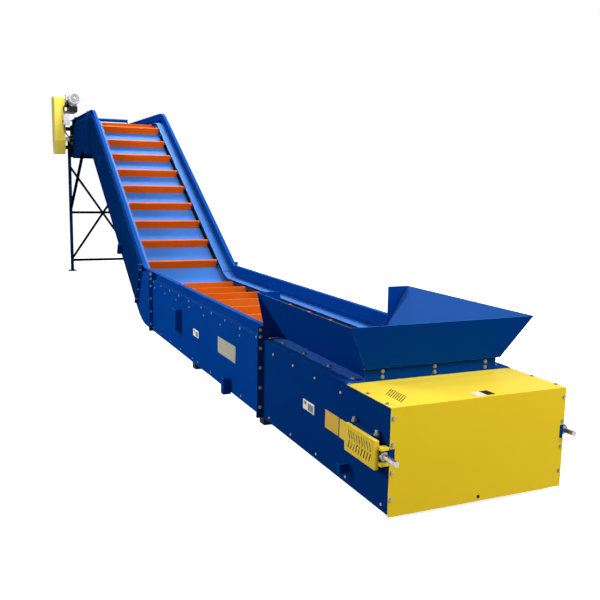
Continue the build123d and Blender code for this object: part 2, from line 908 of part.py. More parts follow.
# Drive bracket: back plate on two arms, shelf for the reducer, stand-off for the switch box
back_thick = 12.0
back_long = 80.0
back_x = guard_case_inner - back_thick
back_front = head_shaft_y + 105.0
back_low = head_shaft_z - 180.0
shelf_thick = 12.0
shelf_rise = 112.0         # above the head's top
shelf_z = head_top + shelf_rise
shelf_front = head_shaft_y - 270.0
shelf_rear = head_shaft_y + 205.0
shelf_x = half - 58.0
arm_high = 60.0
arm_levels = (back_low + 20.0, head_top - 180.0)
switch_back = head_shaft_y - 225.0
switch_low = head_top - 110.0
switch_high = head_top + 57.0
stand_off = 33.0
stand_off_trim = 20.0
with BuildPart() as drive_bracket:
    slab(
        rectangle(back_front, back_low, back_front + back_long, shelf_z),
        -back_x,
        -guard_case_inner,
    )
    slab(
        rectangle(shelf_front, shelf_z, shelf_rear, shelf_z + shelf_thick),
        -shelf_x,
        -guard_case_inner,
    )
    for level in arm_levels:
        slab(
            rectangle(back_front, level, back_front + back_long, level + arm_high),
            -half,
            -back_x,
        )
save(drive_bracket, "drive_bracket")

# Gear reducer: low pedestal under the motor, upright case, output boss to the guard
gear_x0 = shelf_x
gear_x1 = half + 59.0
gear_front = head_shaft_y - 25.0
gear_rear = head_shaft_y + 190.0
gear_low = shelf_z + shelf_thick
pedestal_inset = 5.0
pedestal_front = shelf_front + pedestal_inset
pedestal_top = gear_low + 84.0
case_foot = pedestal_top - 1.0
gear_high = head_top + 376.0
gear_front_round = 40.0
gear_rear_round = 25.0
output_radius = 50.0
output_z = gear_low + 137.0
with BuildPart() as gear_reducer:
    slab(rectangle(pedestal_front, gear_low, gear_rear, pedestal_top), -gear_x0, -gear_x1)
    slab(
        [
            (gear_front, case_foot, 0.0),
            (gear_rear, case_foot, 0.0),
            (gear_rear, gear_high, gear_rear_round),
            (gear_front, gear_high, gear_front_round),
        ],
        -gear_x0,
        -gear_x1,
    )
    with BuildSketch(Plane.YZ.offset(-gear_x1)):
        with Locations(((gear_front + gear_rear) / 2, output_z)):
            Circle(output_radius)
    extrude(amount=-(guard_case_inner - gear_x1))
save(gear_reducer, "gear_reducer")

# Motor: round body along Y with a fan cowl facing the tail, feet and a terminal box
motor_x = half - 4.0
motor_z = head_top + 327.0
motor_radius = 88.0
cowl_radius = 99.0
cowl_long = 90.0
cowl_round = 18.0
motor_front = head_shaft_y - 375.0
motor_flange_radius = 100.0
motor_flange_thick = 20.0
feet_front = motor_front + 120.0
feet_rear = motor_front + 240.0
feet_half_wide = 50.0
feet_sunk = 20.0           # into the round body
terminal_front = motor_front + 130.0
terminal_rear = motor_front + 240.0
terminal_low = motor_z - 25.0
terminal_high = motor_z + 65.0
terminal_inner = motor_x + 78.0
terminal_outer = motor_x + 120.0
with BuildPart() as motor:
    for start, stop, radius in (
        (motor_front, motor_front + cowl_long, cowl_radius),
        (motor_front + cowl_long, gear_front, motor_radius),
        (gear_front - motor_flange_thick, gear_front, motor_flange_radius),
    ):
        with BuildSketch(Plane.XZ.offset(-start)):
            with Locations((-motor_x, motor_z)):
                Circle(radius)
        extrude(amount=start - stop)
    slab(
        rectangle(feet_front, pedestal_top, feet_rear, motor_z - motor_radius + feet_sunk),
        -motor_x - feet_half_wide,
        -motor_x + feet_half_wide,
    )
    slab(
        rectangle(terminal_front, terminal_low, terminal_rear, terminal_high),
        -terminal_inner,
        -terminal_outer,
    )
    fillet(motor.faces().sort_by(Axis.Y)[0].edges(), cowl_round)
save(motor, "motor")

# Switch box on a stand-off in front of the guard, with its operating knob on the outer side
box_deep = 95.0
switch_inner = half + 82.0
switch_outer = half + 175.0
knob_radius = 14.0
knob_out = 18.0
knob_y = switch_back - box_deep / 2
knob_z = switch_low + 58.0
with BuildPart() as switch_box:
    slab(
        rectangle(switch_back - box_deep, switch_low, switch_back, switch_high),
        -switch_inner,
        -switch_outer,
    )
    slab(
        rectangle(
            switch_back,
            switch_low + stand_off_trim,
            guard_case_front,
            switch_high - stand_off_trim,
        ),
        -guard_case_inner,
        -guard_case_inner - stand_off,
    )
    with BuildSketch(Plane.YZ.offset(-switch_outer)):
        with Locations((knob_y, knob_z)):
            Circle(knob_radius)
    extrude(amount=-knob_out)
save(switch_box, "switch_box")

# Conduits: terminal box to switch box, switch box to side plate
conduit_radius = 10.0
box_y = switch_back - 50.0
upper_x = -half - 160.5
lower_x = -half - 163.5
entry_x = -(terminal_inner + terminal_outer) / 2
entry_y = terminal_front + 25.0
plate_y = head_shaft_y - 175.0
plate_z = head_shaft_z + 10.0
conduit_routes = [
    [
        (entry_x, entry_y, terminal_low),
        (entry_x, entry_y, terminal_low - 50.0),
        (entry_x - 44.0, entry_y - 23.0, terminal_low - 85.0),
        (upper_x - 14.0, box_y + 14.0, switch_high + 106.0),
        (upper_x, box_y, switch_high + 48.0),
        (upper_x, box_y, switch_high),
    ],
    [
        (lower_x, box_y, switch_low),
        (lower_x, box_y, switch_low - 46.0),
        (lower_x + 7.0, box_y + 10.0, switch_low - 102.0),
        (lower_x + 35.0, box_y + 32.0, switch_low - 152.0),
        (-half - 88.0, plate_y - 38.0, plate_z + 22.0),
        (-half - 48.0, plate_y, plate_z),
        (-half, plate_y, plate_z),
    ],
]


def arc_radius(before, point, after):
    """Largest even radius that the two runs at a point allow."""
    arriving = Vector(*point) - Vector(*before)
    leaving = Vector(*after) - Vector(*point)
    turn = radians(arriving.get_angle(leaving))
    return 0.45 * min(arriving.length, leaving.length) / tan(turn / 2)


with BuildPart() as conduits:
    for points in conduit_routes:
        radii = [arc_radius(*points[number : number + 3]) for number in range(len(points) - 2)]
        print("conduit radii", [round(radius) for radius in radii])
        with BuildLine():
            path = FilletPolyline(*points, radius=radii)
        with BuildSketch(Plane(origin=path @ 0, z_dir=path % 0)):
            Circle(conduit_radius)
        sweep()
save(conduits, "conduits")

# Legs at the head's end with base plates
leg_width = 50.0
leg_in = 53.0
leg_drop = 300.0
leg_y0 = head_end - leg_in
leg_top = head_top - leg_drop
base_plate = 130.0
base_plate_thick = 12.0
anchor_pitch = 90.0
anchor_radius = 8.0
with BuildPart() as legs:
    slab(
        rectangle(leg_y0, base_plate_thick, leg_y0 + leg_width, leg_top),
        half,
        half + leg_width,
    )
    with BuildSketch(Plane.XY):
        with Locations((half + leg_width / 2, leg_y0 + leg_width / 2)):
            Rectangle(base_plate, base_plate)
            with GridLocations(anchor_pitch, anchor_pitch, 2, 2):
                Circle(anchor_radius, mode=Mode.SUBTRACT)
    extrude(amount=base_plate_thick)
    mirror(about=Plane.YZ)
save(legs, "legs")

# Cross rails between the legs
rail_size = 40.0
rail_levels = (195.0, 1050.0)
with BuildPart() as leg_rails:
    for level in rail_levels:
        rail_y0 = leg_y0 + (leg_width - rail_size) / 2
        slab(
            rectangle(rail_y0, level - rail_size / 2, rail_y0 + rail_size, level + rail_size / 2),
            -half,
            half,
        )
save(leg_rails, "leg_rails")

# Crossed flat bars, one on each face of the legs
cross_low = 227.0
cross_high = 1867.0
cross_wide = 40.0
cross_thick = 6.0
cross_x = half + leg_width / 2
with BuildPart() as leg_cross:
    for y0, lean in ((leg_y0 - cross_thick, 1), (leg_y0 + leg_width, -1)):
        rise = cross_high - cross_low
        length = hypot(2 * cross_x, rise)
        with BuildSketch(Plane.XZ.offset(-y0)):
            lean_angle = lean * degrees(atan2(rise, 2 * cross_x))
            with Locations(Location((0, (cross_low + cross_high) / 2), lean_angle)):
                Rectangle(length, cross_wide)
        extrude(amount=-cross_thick)
save(leg_cross, "leg_cross")

# Knee braces from the legs up to the head's side plates
knee_high = 1130.0
knee_in = 1623.0
knee_over = 30.0           # on the side plate above its bottom edge
knee_trim = 170.0          # what the leg's face cuts off
knee_sunk = 1.0
knee_foot = (leg_y0 + knee_sunk, knee_high)
knee_top = (head_end - knee_in, head_top - side_depth + knee_over)
with BuildPart() as knee_braces:
    tube_between(knee_foot, knee_top, half, half + rail_size, rail_size)
    slab(
        rectangle(leg_y0, knee_high - knee_trim, leg_y0 + knee_trim, knee_high + knee_trim),
        half,
        half + rail_size,
        mode=Mode.SUBTRACT,
    )
    mirror(about=Plane.YZ)
save(knee_braces, "knee_braces")

# Floor sills under the trough
sill_long = 80.0
sill_short = 63.5          # the tail's sill ends inside the side plates
joint_sill = flange_1 + 12.0
middle_sill = flange_1 + 1661.0
sill_places = {0.0: half - sill_short, joint_sill: half, middle_sill: half}
with BuildPart() as floor_sills:
    for place, reach in sill_places.items():
        slab(rectangle(place - sill_long / 2, 0.0, place + sill_long / 2, floor_gap), -reach, reach)
save(floor_sills, "floor_sills")

# Brackets on the side plates: a web across and an outer flange that runs on from it
bracket_sheet = 6.0
bracket_out = 60.0
bracket_places = {
    # name: cut, web and flange's end past the cut, depths of the top and the foot
    "tail": ("flange_1", -1262.0, -1228.0, 508.0, 558.0),
    "foot": ("flange_1", 660.0, 722.0, 520.0, 645.0),
    "middle": ("flange_1", 2060.0, 2228.0, 222.0, 420.0),
    "incline_low": ("flange_3", 1022.0, 1062.0, 465.0, 602.0),
    "incline_high": ("flange_3", 2690.0, 2722.0, 170.0, 291.0),
}
with BuildPart() as side_brackets:
    for cut, start, stop, upper, lower in bracket_places.values():
        for end, x0 in ((start + bracket_sheet, half), (stop, half + bracket_out - bracket_sheet)):
            slab(
                [
                    (*at(cut, upper, start), 0.0),
                    (*at(cut, lower, start), 0.0),
                    (*at(cut, lower, end), 0.0),
                    (*at(cut, upper, end), 0.0),
                ],
                x0,
                half + bracket_out,
            )
    mirror(about=Plane.YZ)
save(side_brackets, "side_brackets")
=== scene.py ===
import bpy
import bmesh
from math import cos, pi, radians, sin
from mathutils import Matrix, Vector


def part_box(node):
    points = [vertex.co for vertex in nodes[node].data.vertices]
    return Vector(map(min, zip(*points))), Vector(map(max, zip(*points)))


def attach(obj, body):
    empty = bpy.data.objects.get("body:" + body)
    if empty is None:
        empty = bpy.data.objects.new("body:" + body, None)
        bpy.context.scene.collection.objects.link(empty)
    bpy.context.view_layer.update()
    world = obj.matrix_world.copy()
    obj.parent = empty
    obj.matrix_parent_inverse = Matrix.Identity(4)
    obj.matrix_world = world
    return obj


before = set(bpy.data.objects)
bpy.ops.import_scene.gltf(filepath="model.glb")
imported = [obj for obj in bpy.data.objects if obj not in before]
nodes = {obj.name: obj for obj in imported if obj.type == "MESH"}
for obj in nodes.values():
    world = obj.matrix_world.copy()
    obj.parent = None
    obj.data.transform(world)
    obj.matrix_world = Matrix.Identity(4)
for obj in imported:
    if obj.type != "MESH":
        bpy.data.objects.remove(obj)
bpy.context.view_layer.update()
print("frame loaded:", len(nodes), "nodes")


# camera, at standing eye height
cameraPlan = {
    "place": (-2.3287, -3.0712, 1.6122),
    "turnRight": 24.158,   # degrees from +Y
    "tiltDown": 8.713,
    "roll": 1.058,
    "lens": 45.118,
    "sensor": 36.0,
    "clipEnd": 200.0,
}


def placeCamera():
    data = bpy.data.cameras.new("camera")
    data.lens = cameraPlan["lens"]
    data.sensor_width = cameraPlan["sensor"]
    data.clip_end = cameraPlan["clipEnd"]
    camera = bpy.data.objects.new("camera", data)
    turn = Matrix.Rotation(-radians(cameraPlan["turnRight"]), 4, "Z")
    tilt = Matrix.Rotation(radians(90.0 - cameraPlan["tiltDown"]), 4, "X")
    roll = Matrix.Rotation(radians(cameraPlan["roll"]), 4, "Z")
    camera.matrix_world = Matrix.Translation(cameraPlan["place"]) @ turn @ tilt @ roll
    bpy.context.scene.collection.objects.link(camera)
    bpy.context.scene.camera = camera


placeCamera()
bpy.context.scene.view_settings.view_transform = "Standard"
print("camera placed")


# colours are given as they look on a screen, 0 to 255
def screenColour(red, green, blue):
    channels = []
    for value in (red, green, blue):
        share = value / 255.0
        channels.append(share / 12.92 if share <= 0.04045 else ((share + 0.055) / 1.055) ** 2.4)
    return (*channels, 1.0)


# lamps and stage
lampPlan = {
    # name: (place, aims at, size, watts)
    "keyRight": ((4.5, -6.5, 5.5), (0.0, 0.8, 0.5), 3.5, 500.0),
    "frontHigh": ((0.8, -4.5, 7.5), (0.0, 5.5, 1.0), 3.0, 500.0),
    "overTail": ((0.5, 1.5, 5.5), (0.0, 1.8, 0.4), 3.0, 60.0),
    "overHead": ((0.8, 9.4, 6.2), (0.0, 6.8, 1.4), 1.6, 330.0),
    "leftSide": ((-6.0, 4.5, 3.6), (-0.5, 3.4, 0.3), 2.0, 330.0),
    "leftTail": ((-5.5, -0.5, 2.2), (-0.5, 0.2, 0.3), 2.0, 40.0),
    "onDrive": ((-1.6, 7.6, 3.8), (-0.75, 10.6, 2.6), 1.0, 16.0),
}
stagePlan = {
    "floorReach": 60.0,
    "skyAmbient": 0.30,     # what the world gives to the surfaces
    "groundAmbient": 0.10,
    "floorWhite": (235, 235, 235),
    "floorBounce": (110, 112, 116),
    "floorGlow": 0.86,      # keeps the far floor as white as the backdrop
    "floorDrop": 0.001,
    "groundHeight": -0.2,   # Z of a direction, from which the world brightens
    "skyHeight": 0.9,       # and where it is brightest
}


def addLamp(name, place, aim, size, watts):
    data = bpy.data.lights.new(name, "AREA")
    data.shape = "DISK"
    data.size = size
    data.energy = watts
    lamp = bpy.data.objects.new(name, data)
    lamp.location = place
    lamp.rotation_mode = "QUATERNION"
    lamp.rotation_quaternion = (Vector(aim) - Vector(place)).to_track_quat("-Z", "Y")
    lamp.visible_camera = False
    bpy.context.scene.collection.objects.link(lamp)


def buildWorld():
    world = bpy.data.worlds.new("studio")
    bpy.context.scene.world = world
    world.use_nodes = True
    tree = world.node_tree
    tree.nodes.clear()
    output = tree.nodes.new("ShaderNodeOutputWorld")
    place = tree.nodes.new("ShaderNodeTexCoord")
    split = tree.nodes.new("ShaderNodeSeparateXYZ")
    height = tree.nodes.new("ShaderNodeMapRange")
    soft = tree.nodes.new("ShaderNodeBackground")
    white = tree.nodes.new("ShaderNodeBackground")
    rays = tree.nodes.new("ShaderNodeLightPath")
    seen = tree.nodes.new("ShaderNodeMath")
    seenAll = tree.nodes.new("ShaderNodeMath")
    mix = tree.nodes.new("ShaderNodeMixShader")
    tree.links.new(place.outputs["Generated"], split.inputs[0])
    tree.links.new(split.outputs["Z"], height.inputs["Value"])
    height.inputs["From Min"].default_value = stagePlan["groundHeight"]
    height.inputs["From Max"].default_value = stagePlan["skyHeight"]
    height.inputs["To Min"].default_value = stagePlan["groundAmbient"]
    height.inputs["To Max"].default_value = stagePlan["skyAmbient"]
    tree.links.new(height.outputs["Result"], soft.inputs["Strength"])
    soft.inputs["Color"].default_value = (1.0, 1.0, 1.0, 1.0)
    white.inputs["Color"].default_value = (1.0, 1.0, 1.0, 1.0)
    seen.operation = "MAXIMUM"
    seenAll.operation = "MAXIMUM"
    tree.links.new(rays.outputs["Is Camera Ray"], seen.inputs[0])
    tree.links.new(rays.outputs["Is Glossy Ray"], seen.inputs[1])
    tree.links.new(seen.outputs[0], seenAll.inputs[0])
    tree.links.new(rays.outputs["Is Transmission Ray"], seenAll.inputs[1])
    tree.links.new(seenAll.outputs[0], mix.inputs["Fac"])
    tree.links.new(soft.outputs[0], mix.inputs[1])
    tree.links.new(white.outputs[0], mix.inputs[2])
    tree.links.new(mix.outputs[0], output.inputs["Surface"])


def buildFloor():
    reach = stagePlan["floorReach"]
    mesh = bpy.data.meshes.new("floor")
    corners = [(-reach, -reach, 0), (reach, -reach, 0), (reach, reach, 0), (-reach, reach, 0)]
    mesh.from_pydata(corners, [], [(0, 1, 2, 3)])
    floor = bpy.data.objects.new("floor", mesh)
    bpy.context.scene.collection.objects.link(floor)
    floor.location.z = -stagePlan["floorDrop"]
    material = bpy.data.materials.new("studioFloor")
    material.use_nodes = True
    tree = material.node_tree
    tree.nodes.clear()
    output = tree.nodes.new("ShaderNodeOutputMaterial")
    pale = tree.nodes.new("ShaderNodeBsdfDiffuse")
    dull = tree.nodes.new("ShaderNodeBsdfDiffuse")
    glow = tree.nodes.new("ShaderNodeEmission")
    paleGlow = tree.nodes.new("ShaderNodeAddShader")
    rays = tree.nodes.new("ShaderNodeLightPath")
    seen = tree.nodes.new("ShaderNodeMath")
    mix = tree.nodes.new("ShaderNodeMixShader")
    pale.inputs["Color"].default_value = screenColour(*stagePlan["floorWhite"])
    dull.inputs["Color"].default_value = screenColour(*stagePlan["floorBounce"])
    glow.inputs["Strength"].default_value = stagePlan["floorGlow"]
    seen.operation = "MAXIMUM"
    tree.links.new(pale.outputs[0], paleGlow.inputs[0])
    tree.links.new(glow.outputs[0], paleGlow.inputs[1])
    tree.links.new(rays.outputs["Is Camera Ray"], seen.inputs[0])
    tree.links.new(rays.outputs["Is Glossy Ray"], seen.inputs[1])
    tree.links.new(seen.outputs[0], mix.inputs["Fac"])
    tree.links.new(dull.outputs[0], mix.inputs[1])
    tree.links.new(paleGlow.outputs[0], mix.inputs[2])
    tree.links.new(mix.outputs[0], output.inputs["Surface"])
    mesh.materials.append(material)


for lampName, (lampPlace, lampAim, lampSize, lampWatts) in lampPlan.items():
    addLamp(lampName, lampPlace, lampAim, lampSize, lampWatts)
buildWorld()
buildFloor()
print("stage and lamps ready")


# shader groups that give masks and heights
groupPlan = {
    "edgeSamples": 6, "edgeFrom": 0.995, "edgeTo": 0.90, "edgeDetail": 5.0, "chipFrom": 0.40, "chipTo": 0.62,
    "peelDetail": 2.0, "cloudDetail": 4.0, "cloudRough": 0.6, "scrapeDetail": 4.0,
}


def newGroup(name, inputs, outputs):
    group = bpy.data.node_groups.new(name, "ShaderNodeTree")
    for socketName, start in inputs.items():
        socket = group.interface.new_socket(socketName, in_out="INPUT", socket_type="NodeSocketFloat")
        socket.default_value = start
    for socketName in outputs:
        group.interface.new_socket(socketName, in_out="OUTPUT", socket_type="NodeSocketFloat")
    return group, group.nodes.new("NodeGroupInput"), group.nodes.new("NodeGroupOutput")


def buildEdgeWearAndHighlight():
    # paint thinned along sheet edges, broken up by noise; the lighter edge colour is partly a painted
    # highlight on the rims
    group, start, end = newGroup("edgeWearAndHighlight", {"Radius": 0.003, "Breakup": 18.0, "Amount": 0.5}, ["Mask"])
    rounded = group.nodes.new("ShaderNodeBevel")
    plain = group.nodes.new("ShaderNodeNewGeometry")
    compare = group.nodes.new("ShaderNodeVectorMath")
    spread = group.nodes.new("ShaderNodeMapRange")
    place = group.nodes.new("ShaderNodeTexCoord")
    noise = group.nodes.new("ShaderNodeTexNoise")
    chips = group.nodes.new("ShaderNodeMapRange")
    both = group.nodes.new("ShaderNodeMath")
    scaled = group.nodes.new("ShaderNodeMath")
    rounded.samples = groupPlan["edgeSamples"]
    compare.operation = "DOT_PRODUCT"
    both.operation = "MULTIPLY"
    scaled.operation = "MULTIPLY"
    group.links.new(start.outputs["Radius"], rounded.inputs["Radius"])
    group.links.new(rounded.outputs[0], compare.inputs[0])
    group.links.new(plain.outputs["Normal"], compare.inputs[1])
    group.links.new(compare.outputs["Value"], spread.inputs["Value"])
    spread.inputs["From Min"].default_value = groupPlan["edgeFrom"]
    spread.inputs["From Max"].default_value = groupPlan["edgeTo"]
    group.links.new(place.outputs["Object"], noise.inputs["Vector"])
    group.links.new(start.outputs["Breakup"], noise.inputs["Scale"])
    noise.inputs["Detail"].default_value = groupPlan["edgeDetail"]
    group.links.new(noise.outputs["Fac"], chips.inputs["Value"])
    chips.inputs["From Min"].default_value = groupPlan["chipFrom"]
    chips.inputs["From Max"].default_value = groupPlan["chipTo"]
    group.links.new(spread.outputs["Result"], both.inputs[0])
    group.links.new(chips.outputs["Result"], both.inputs[1])
    group.links.new(both.outputs[0], scaled.inputs[0])
    group.links.new(start.outputs["Amount"], scaled.inputs[1])
    group.links.new(scaled.outputs[0], end.inputs["Mask"])
    return group


def buildPaintGrain():
    # orange peel of sprayed paint, with broad faint clouds
    group, start, end = newGroup("paintGrain", {"Peel": 420.0, "Clouds": 1.6}, ["Height", "Cloud"])
    place = group.nodes.new("ShaderNodeTexCoord")
    peel = group.nodes.new("ShaderNodeTexNoise")
    clouds = group.nodes.new("ShaderNodeTexNoise")
    group.links.new(place.outputs["Object"], peel.inputs["Vector"])
    group.links.new(place.outputs["Object"], clouds.inputs["Vector"])
    group.links.new(start.outputs["Peel"], peel.inputs["Scale"])
    group.links.new(start.outputs["Clouds"], clouds.inputs["Scale"])
    peel.inputs["Detail"].default_value = groupPlan["peelDetail"]
    clouds.inputs["Detail"].default_value = groupPlan["cloudDetail"]
    clouds.inputs["Roughness"].default_value = groupPlan["cloudRough"]
    group.links.new(peel.outputs["Fac"], end.inputs["Height"])
    group.links.new(clouds.outputs["Fac"], end.inputs["Cloud"])
    return group


def buildUpFacing():
    # how far a surface faces up, for the painted sky light on top faces
    group, start, end = newGroup("upFacing", {"Low": 0.55, "High": 0.95}, ["Mask"])
    plain = group.nodes.new("ShaderNodeNewGeometry")
    split = group.nodes.new("ShaderNodeSeparateXYZ")
    spread = group.nodes.new("ShaderNodeMapRange")
    group.links.new(plain.outputs["Normal"], split.inputs[0])
    group.links.new(split.outputs["Z"], spread.inputs["Value"])
    group.links.new(start.outputs["Low"], spread.inputs["From Min"])
    group.links.new(start.outputs["High"], spread.inputs["From Max"])
    group.links.new(spread.outputs["Result"], end.inputs["Mask"])
    return group


def buildScrapes():
    # long fine scratches along one axis, where flights drag
    inputs = {"Across": 60.0, "Along": 1.2, "Low": 0.5, "High": 0.7}
    group, start, end = newGroup("scrapes", inputs, ["Mask"])
    place = group.nodes.new("ShaderNodeTexCoord")
    split = group.nodes.new("ShaderNodeSeparateXYZ")
    across = group.nodes.new("ShaderNodeMath")
    along = group.nodes.new("ShaderNodeMath")
    join = group.nodes.new("ShaderNodeCombineXYZ")
    noise = group.nodes.new("ShaderNodeTexNoise")
    spread = group.nodes.new("ShaderNodeMapRange")
    across.operation = "MULTIPLY"
    along.operation = "MULTIPLY"
    group.links.new(place.outputs["Object"], split.inputs[0])
    group.links.new(split.outputs["X"], across.inputs[0])
    group.links.new(start.outputs["Across"], across.inputs[1])
    group.links.new(split.outputs["Y"], along.inputs[0])
    group.links.new(start.outputs["Along"], along.inputs[1])
    group.links.new(across.outputs[0], join.inputs["X"])
    group.links.new(along.outputs[0], join.inputs["Y"])
    group.links.new(join.outputs[0], noise.inputs["Vector"])
    noise.inputs["Scale"].default_value = 1.0
    noise.inputs["Detail"].default_value = groupPlan["scrapeDetail"]
    group.links.new(noise.outputs["Fac"], spread.inputs["Value"])
    group.links.new(start.outputs["Low"], spread.inputs["From Min"])
    group.links.new(start.outputs["High"], spread.inputs["From Max"])
    group.links.new(spread.outputs["Result"], end.inputs["Mask"])
    return group


groups = {
    "edgeWearAndHighlight": buildEdgeWearAndHighlight(),
    "paintGrain": buildPaintGrain(),
    "upFacing": buildUpFacing(),
    "scrapes": buildScrapes(),
}
print("shader groups built")


def placeGroup(tree, name, values):
    node = tree.nodes.new("ShaderNodeGroup")
    node.node_tree = groups[name]
    for socketName, value in values.items():
        node.inputs[socketName].default_value = value
    return node


def mixColours(tree, factor, first, second):
    # factor is a socket, first and second are sockets or colours
    mix = tree.nodes.new("ShaderNodeMix")
    mix.data_type = "RGBA"
    tree.links.new(factor, mix.inputs["Factor"])
    for side, value in (("A", first), ("B", second)):
        socket = [s for s in mix.inputs if s.name == side and s.type == "RGBA"][0]
        if isinstance(value, tuple):
            socket.default_value = value
        else:
            tree.links.new(value, socket)
    return [s for s in mix.outputs if s.type == "RGBA"][0]


def rangeOf(tree, source, low, high):
    spread = tree.nodes.new("ShaderNodeMapRange")
    tree.links.new(source, spread.inputs["Value"])
    spread.inputs["To Min"].default_value = low
    spread.inputs["To Max"].default_value = high
    return spread.outputs["Result"]


def newFinish(name):
    material = bpy.data.materials.new(name)
    material.use_nodes = True
    tree = material.node_tree
    return material, tree, tree.nodes["Principled BSDF"]


def bumpFrom(tree, shader, height, look):
    bump = tree.nodes.new("ShaderNodeBump")
    bump.inputs["Strength"].default_value = look["bump"]
    bump.inputs["Distance"].default_value = look["bumpDepth"]
    tree.links.new(height, bump.inputs["Height"])
    tree.links.new(bump.outputs[0], shader.inputs["Normal"])


# finishes; lit is a painted top light laid on faces that look up, edge is worn paint with a painted edge
# highlight
finishPlan = {
    "deepBlue": {
        "slot": "blue_paint", "colour": (4, 64, 146), "shade": (3, 54, 130), "lit": (44, 104, 194),
        "litShare": 0.45, "edge": (70, 130, 214), "edgeAmount": 0.6, "rough": 0.5, "specular": 0.0,
    },
    # a darker copy of the blue paint: painted shade on the tail and head sides, away from the side light
    "shadedSideBlue": {
        "slot": "blue_paint", "colour": (3, 54, 122), "shade": (2, 45, 108), "lit": (24, 84, 170),
        "litShare": 0.4, "edge": (60, 116, 196), "edgeAmount": 0.5, "rough": 0.5, "specular": 0.0,
    },
    # its lit colour is a stronger painted top light, reaching faces that lean only a little up
    "hopperBlue": {
        "slot": "blue_paint", "colour": (3, 58, 138), "shade": (2, 50, 124), "lit": (74, 134, 216),
        "litShare": 0.55, "edge": (84, 138, 214), "edgeAmount": 0.7, "rough": 0.5, "specular": 0.0,
        "upFrom": 0.25, "upTo": 0.75,
    },
    # a lighter copy of the blue paint: painted reflection of the sky on the bed and guard strips
    "bedBlueReflectionLit": {
        "slot": "blue_paint", "colour": (58, 118, 208), "shade": (44, 100, 190), "lit": (84, 146, 232),
        "litShare": 0.5, "edge": (120, 170, 236), "edgeAmount": 0.5, "rough": 0.5, "specular": 0.05,
    },
    # a darker copy of the blue paint: painted shade on the legs, take-up frames and incline sides
    "frameShadedBlue": {
        "slot": "blue_paint", "colour": (2, 46, 106), "shade": (1, 34, 84), "lit": (14, 62, 138),
        "litShare": 0.5, "edge": (50, 96, 170), "edgeAmount": 0.4, "rough": 0.5, "specular": 0.0,
    },
    # blue paint made near black: painted shade under the trough on the rails and braces
    "braceShadedBlue": {
        "slot": "blue_paint", "colour": (2, 14, 40), "shade": (1, 8, 24), "lit": (8, 40, 92),
        "litShare": 0.5, "edge": (20, 52, 108), "edgeAmount": 0.4, "rough": 0.5, "specular": 0.0,
    },
    "safetyYellow": {
        "slot": "yellow_paint", "colour": (222, 190, 36), "shade": (212, 180, 28), "lit": (238, 212, 66),
        "litShare": 0.8, "edge": (250, 236, 130), "edgeAmount": 0.7, "rough": 0.45, "specular": 0.08,
    },
    "guardYellow": {
        "slot": "yellow_paint", "colour": (250, 228, 96), "shade": (240, 214, 80), "lit": (255, 246, 200),
        "litShare": 0.8, "edge": (255, 250, 214), "edgeAmount": 0.7, "rough": 0.45, "specular": 0.08,
    },
}


paintLook = {
    "roughBelow": 0.06, "roughAbove": 0.08, "bump": 0.08, "bumpDepth": 0.0006, "upFrom": 0.55, "upTo": 0.95,
}


def paintMaterial(name):
    plan = finishPlan[name]
    material, tree, shader = newFinish(name)
    grain = placeGroup(tree, "paintGrain", {})
    upRange = {"Low": plan.get("upFrom", paintLook["upFrom"]), "High": plan.get("upTo", paintLook["upTo"])}
    up = placeGroup(tree, "upFacing", upRange)
    wearAndHighlight = placeGroup(tree, "edgeWearAndHighlight", {"Amount": plan["edgeAmount"]})
    shade = screenColour(*plan["shade"])
    colour = screenColour(*plan["colour"])
    cloud = mixColours(tree, grain.outputs["Cloud"], shade, colour)
    # painted sky light: the lit colour mixed onto faces that look up
    upShare = tree.nodes.new("ShaderNodeMath")
    upShare.operation = "MULTIPLY"
    tree.links.new(up.outputs["Mask"], upShare.inputs[0])
    upShare.inputs[1].default_value = plan["litShare"]
    lit = mixColours(tree, upShare.outputs[0], cloud, screenColour(*plan["lit"]))
    # edge colour over the edge mask: worn paint and a painted highlight along the rims
    wornAndHighlit = mixColours(tree, wearAndHighlight.outputs["Mask"], lit, screenColour(*plan["edge"]))
    tree.links.new(wornAndHighlit, shader.inputs["Base Color"])
    smooth = plan["rough"] - paintLook["roughBelow"]
    dull = plan["rough"] + paintLook["roughAbove"]
    tree.links.new(rangeOf(tree, grain.outputs["Cloud"], smooth, dull), shader.inputs["Roughness"])
    shader.inputs["Specular IOR Level"].default_value = plan["specular"]
    bumpFrom(tree, shader, grain.outputs["Height"], paintLook)
    return material


flightLook = {
    # edge: worn flight edges, lighter also as a painted highlight
    "dark": (220, 86, 8), "light": (238, 104, 14), "scrape": (238, 128, 48), "edge": (246, 160, 92),
    "grain": {"Peel": 260.0, "Clouds": 5.0},
    "scrapes": {"Across": 3.0, "Along": 90.0, "Low": 0.55, "High": 0.75},
    "wearAndHighlight": {"Amount": 0.35, "Radius": 0.003},
    "scrapeShare": 0.35, "rough": 0.55, "specular": 0.04, "bump": 0.12, "bumpDepth": 0.0008,
}


def flightMaterial():
    look = flightLook
    material, tree, shader = newFinish("flightOrange")
    grain = placeGroup(tree, "paintGrain", look["grain"])
    scrapes = placeGroup(tree, "scrapes", look["scrapes"])
    wearAndHighlight = placeGroup(tree, "edgeWearAndHighlight", look["wearAndHighlight"])
    base = mixColours(tree, grain.outputs["Cloud"], screenColour(*look["dark"]), screenColour(*look["light"]))
    scrapeMask = rangeOf(tree, scrapes.outputs["Mask"], 0.0, look["scrapeShare"])
    scraped = mixColours(tree, scrapeMask, base, screenColour(*look["scrape"]))
    # lighter edges: wear and a painted highlight
    wornAndHighlit = mixColours(tree, wearAndHighlight.outputs["Mask"], scraped, screenColour(*look["edge"]))
    tree.links.new(wornAndHighlit, shader.inputs["Base Color"])
    shader.inputs["Roughness"].default_value = look["rough"]
    shader.inputs["Specular IOR Level"].default_value = look["specular"]
    bumpFrom(tree, shader, scrapes.outputs["Mask"], look)
    return material


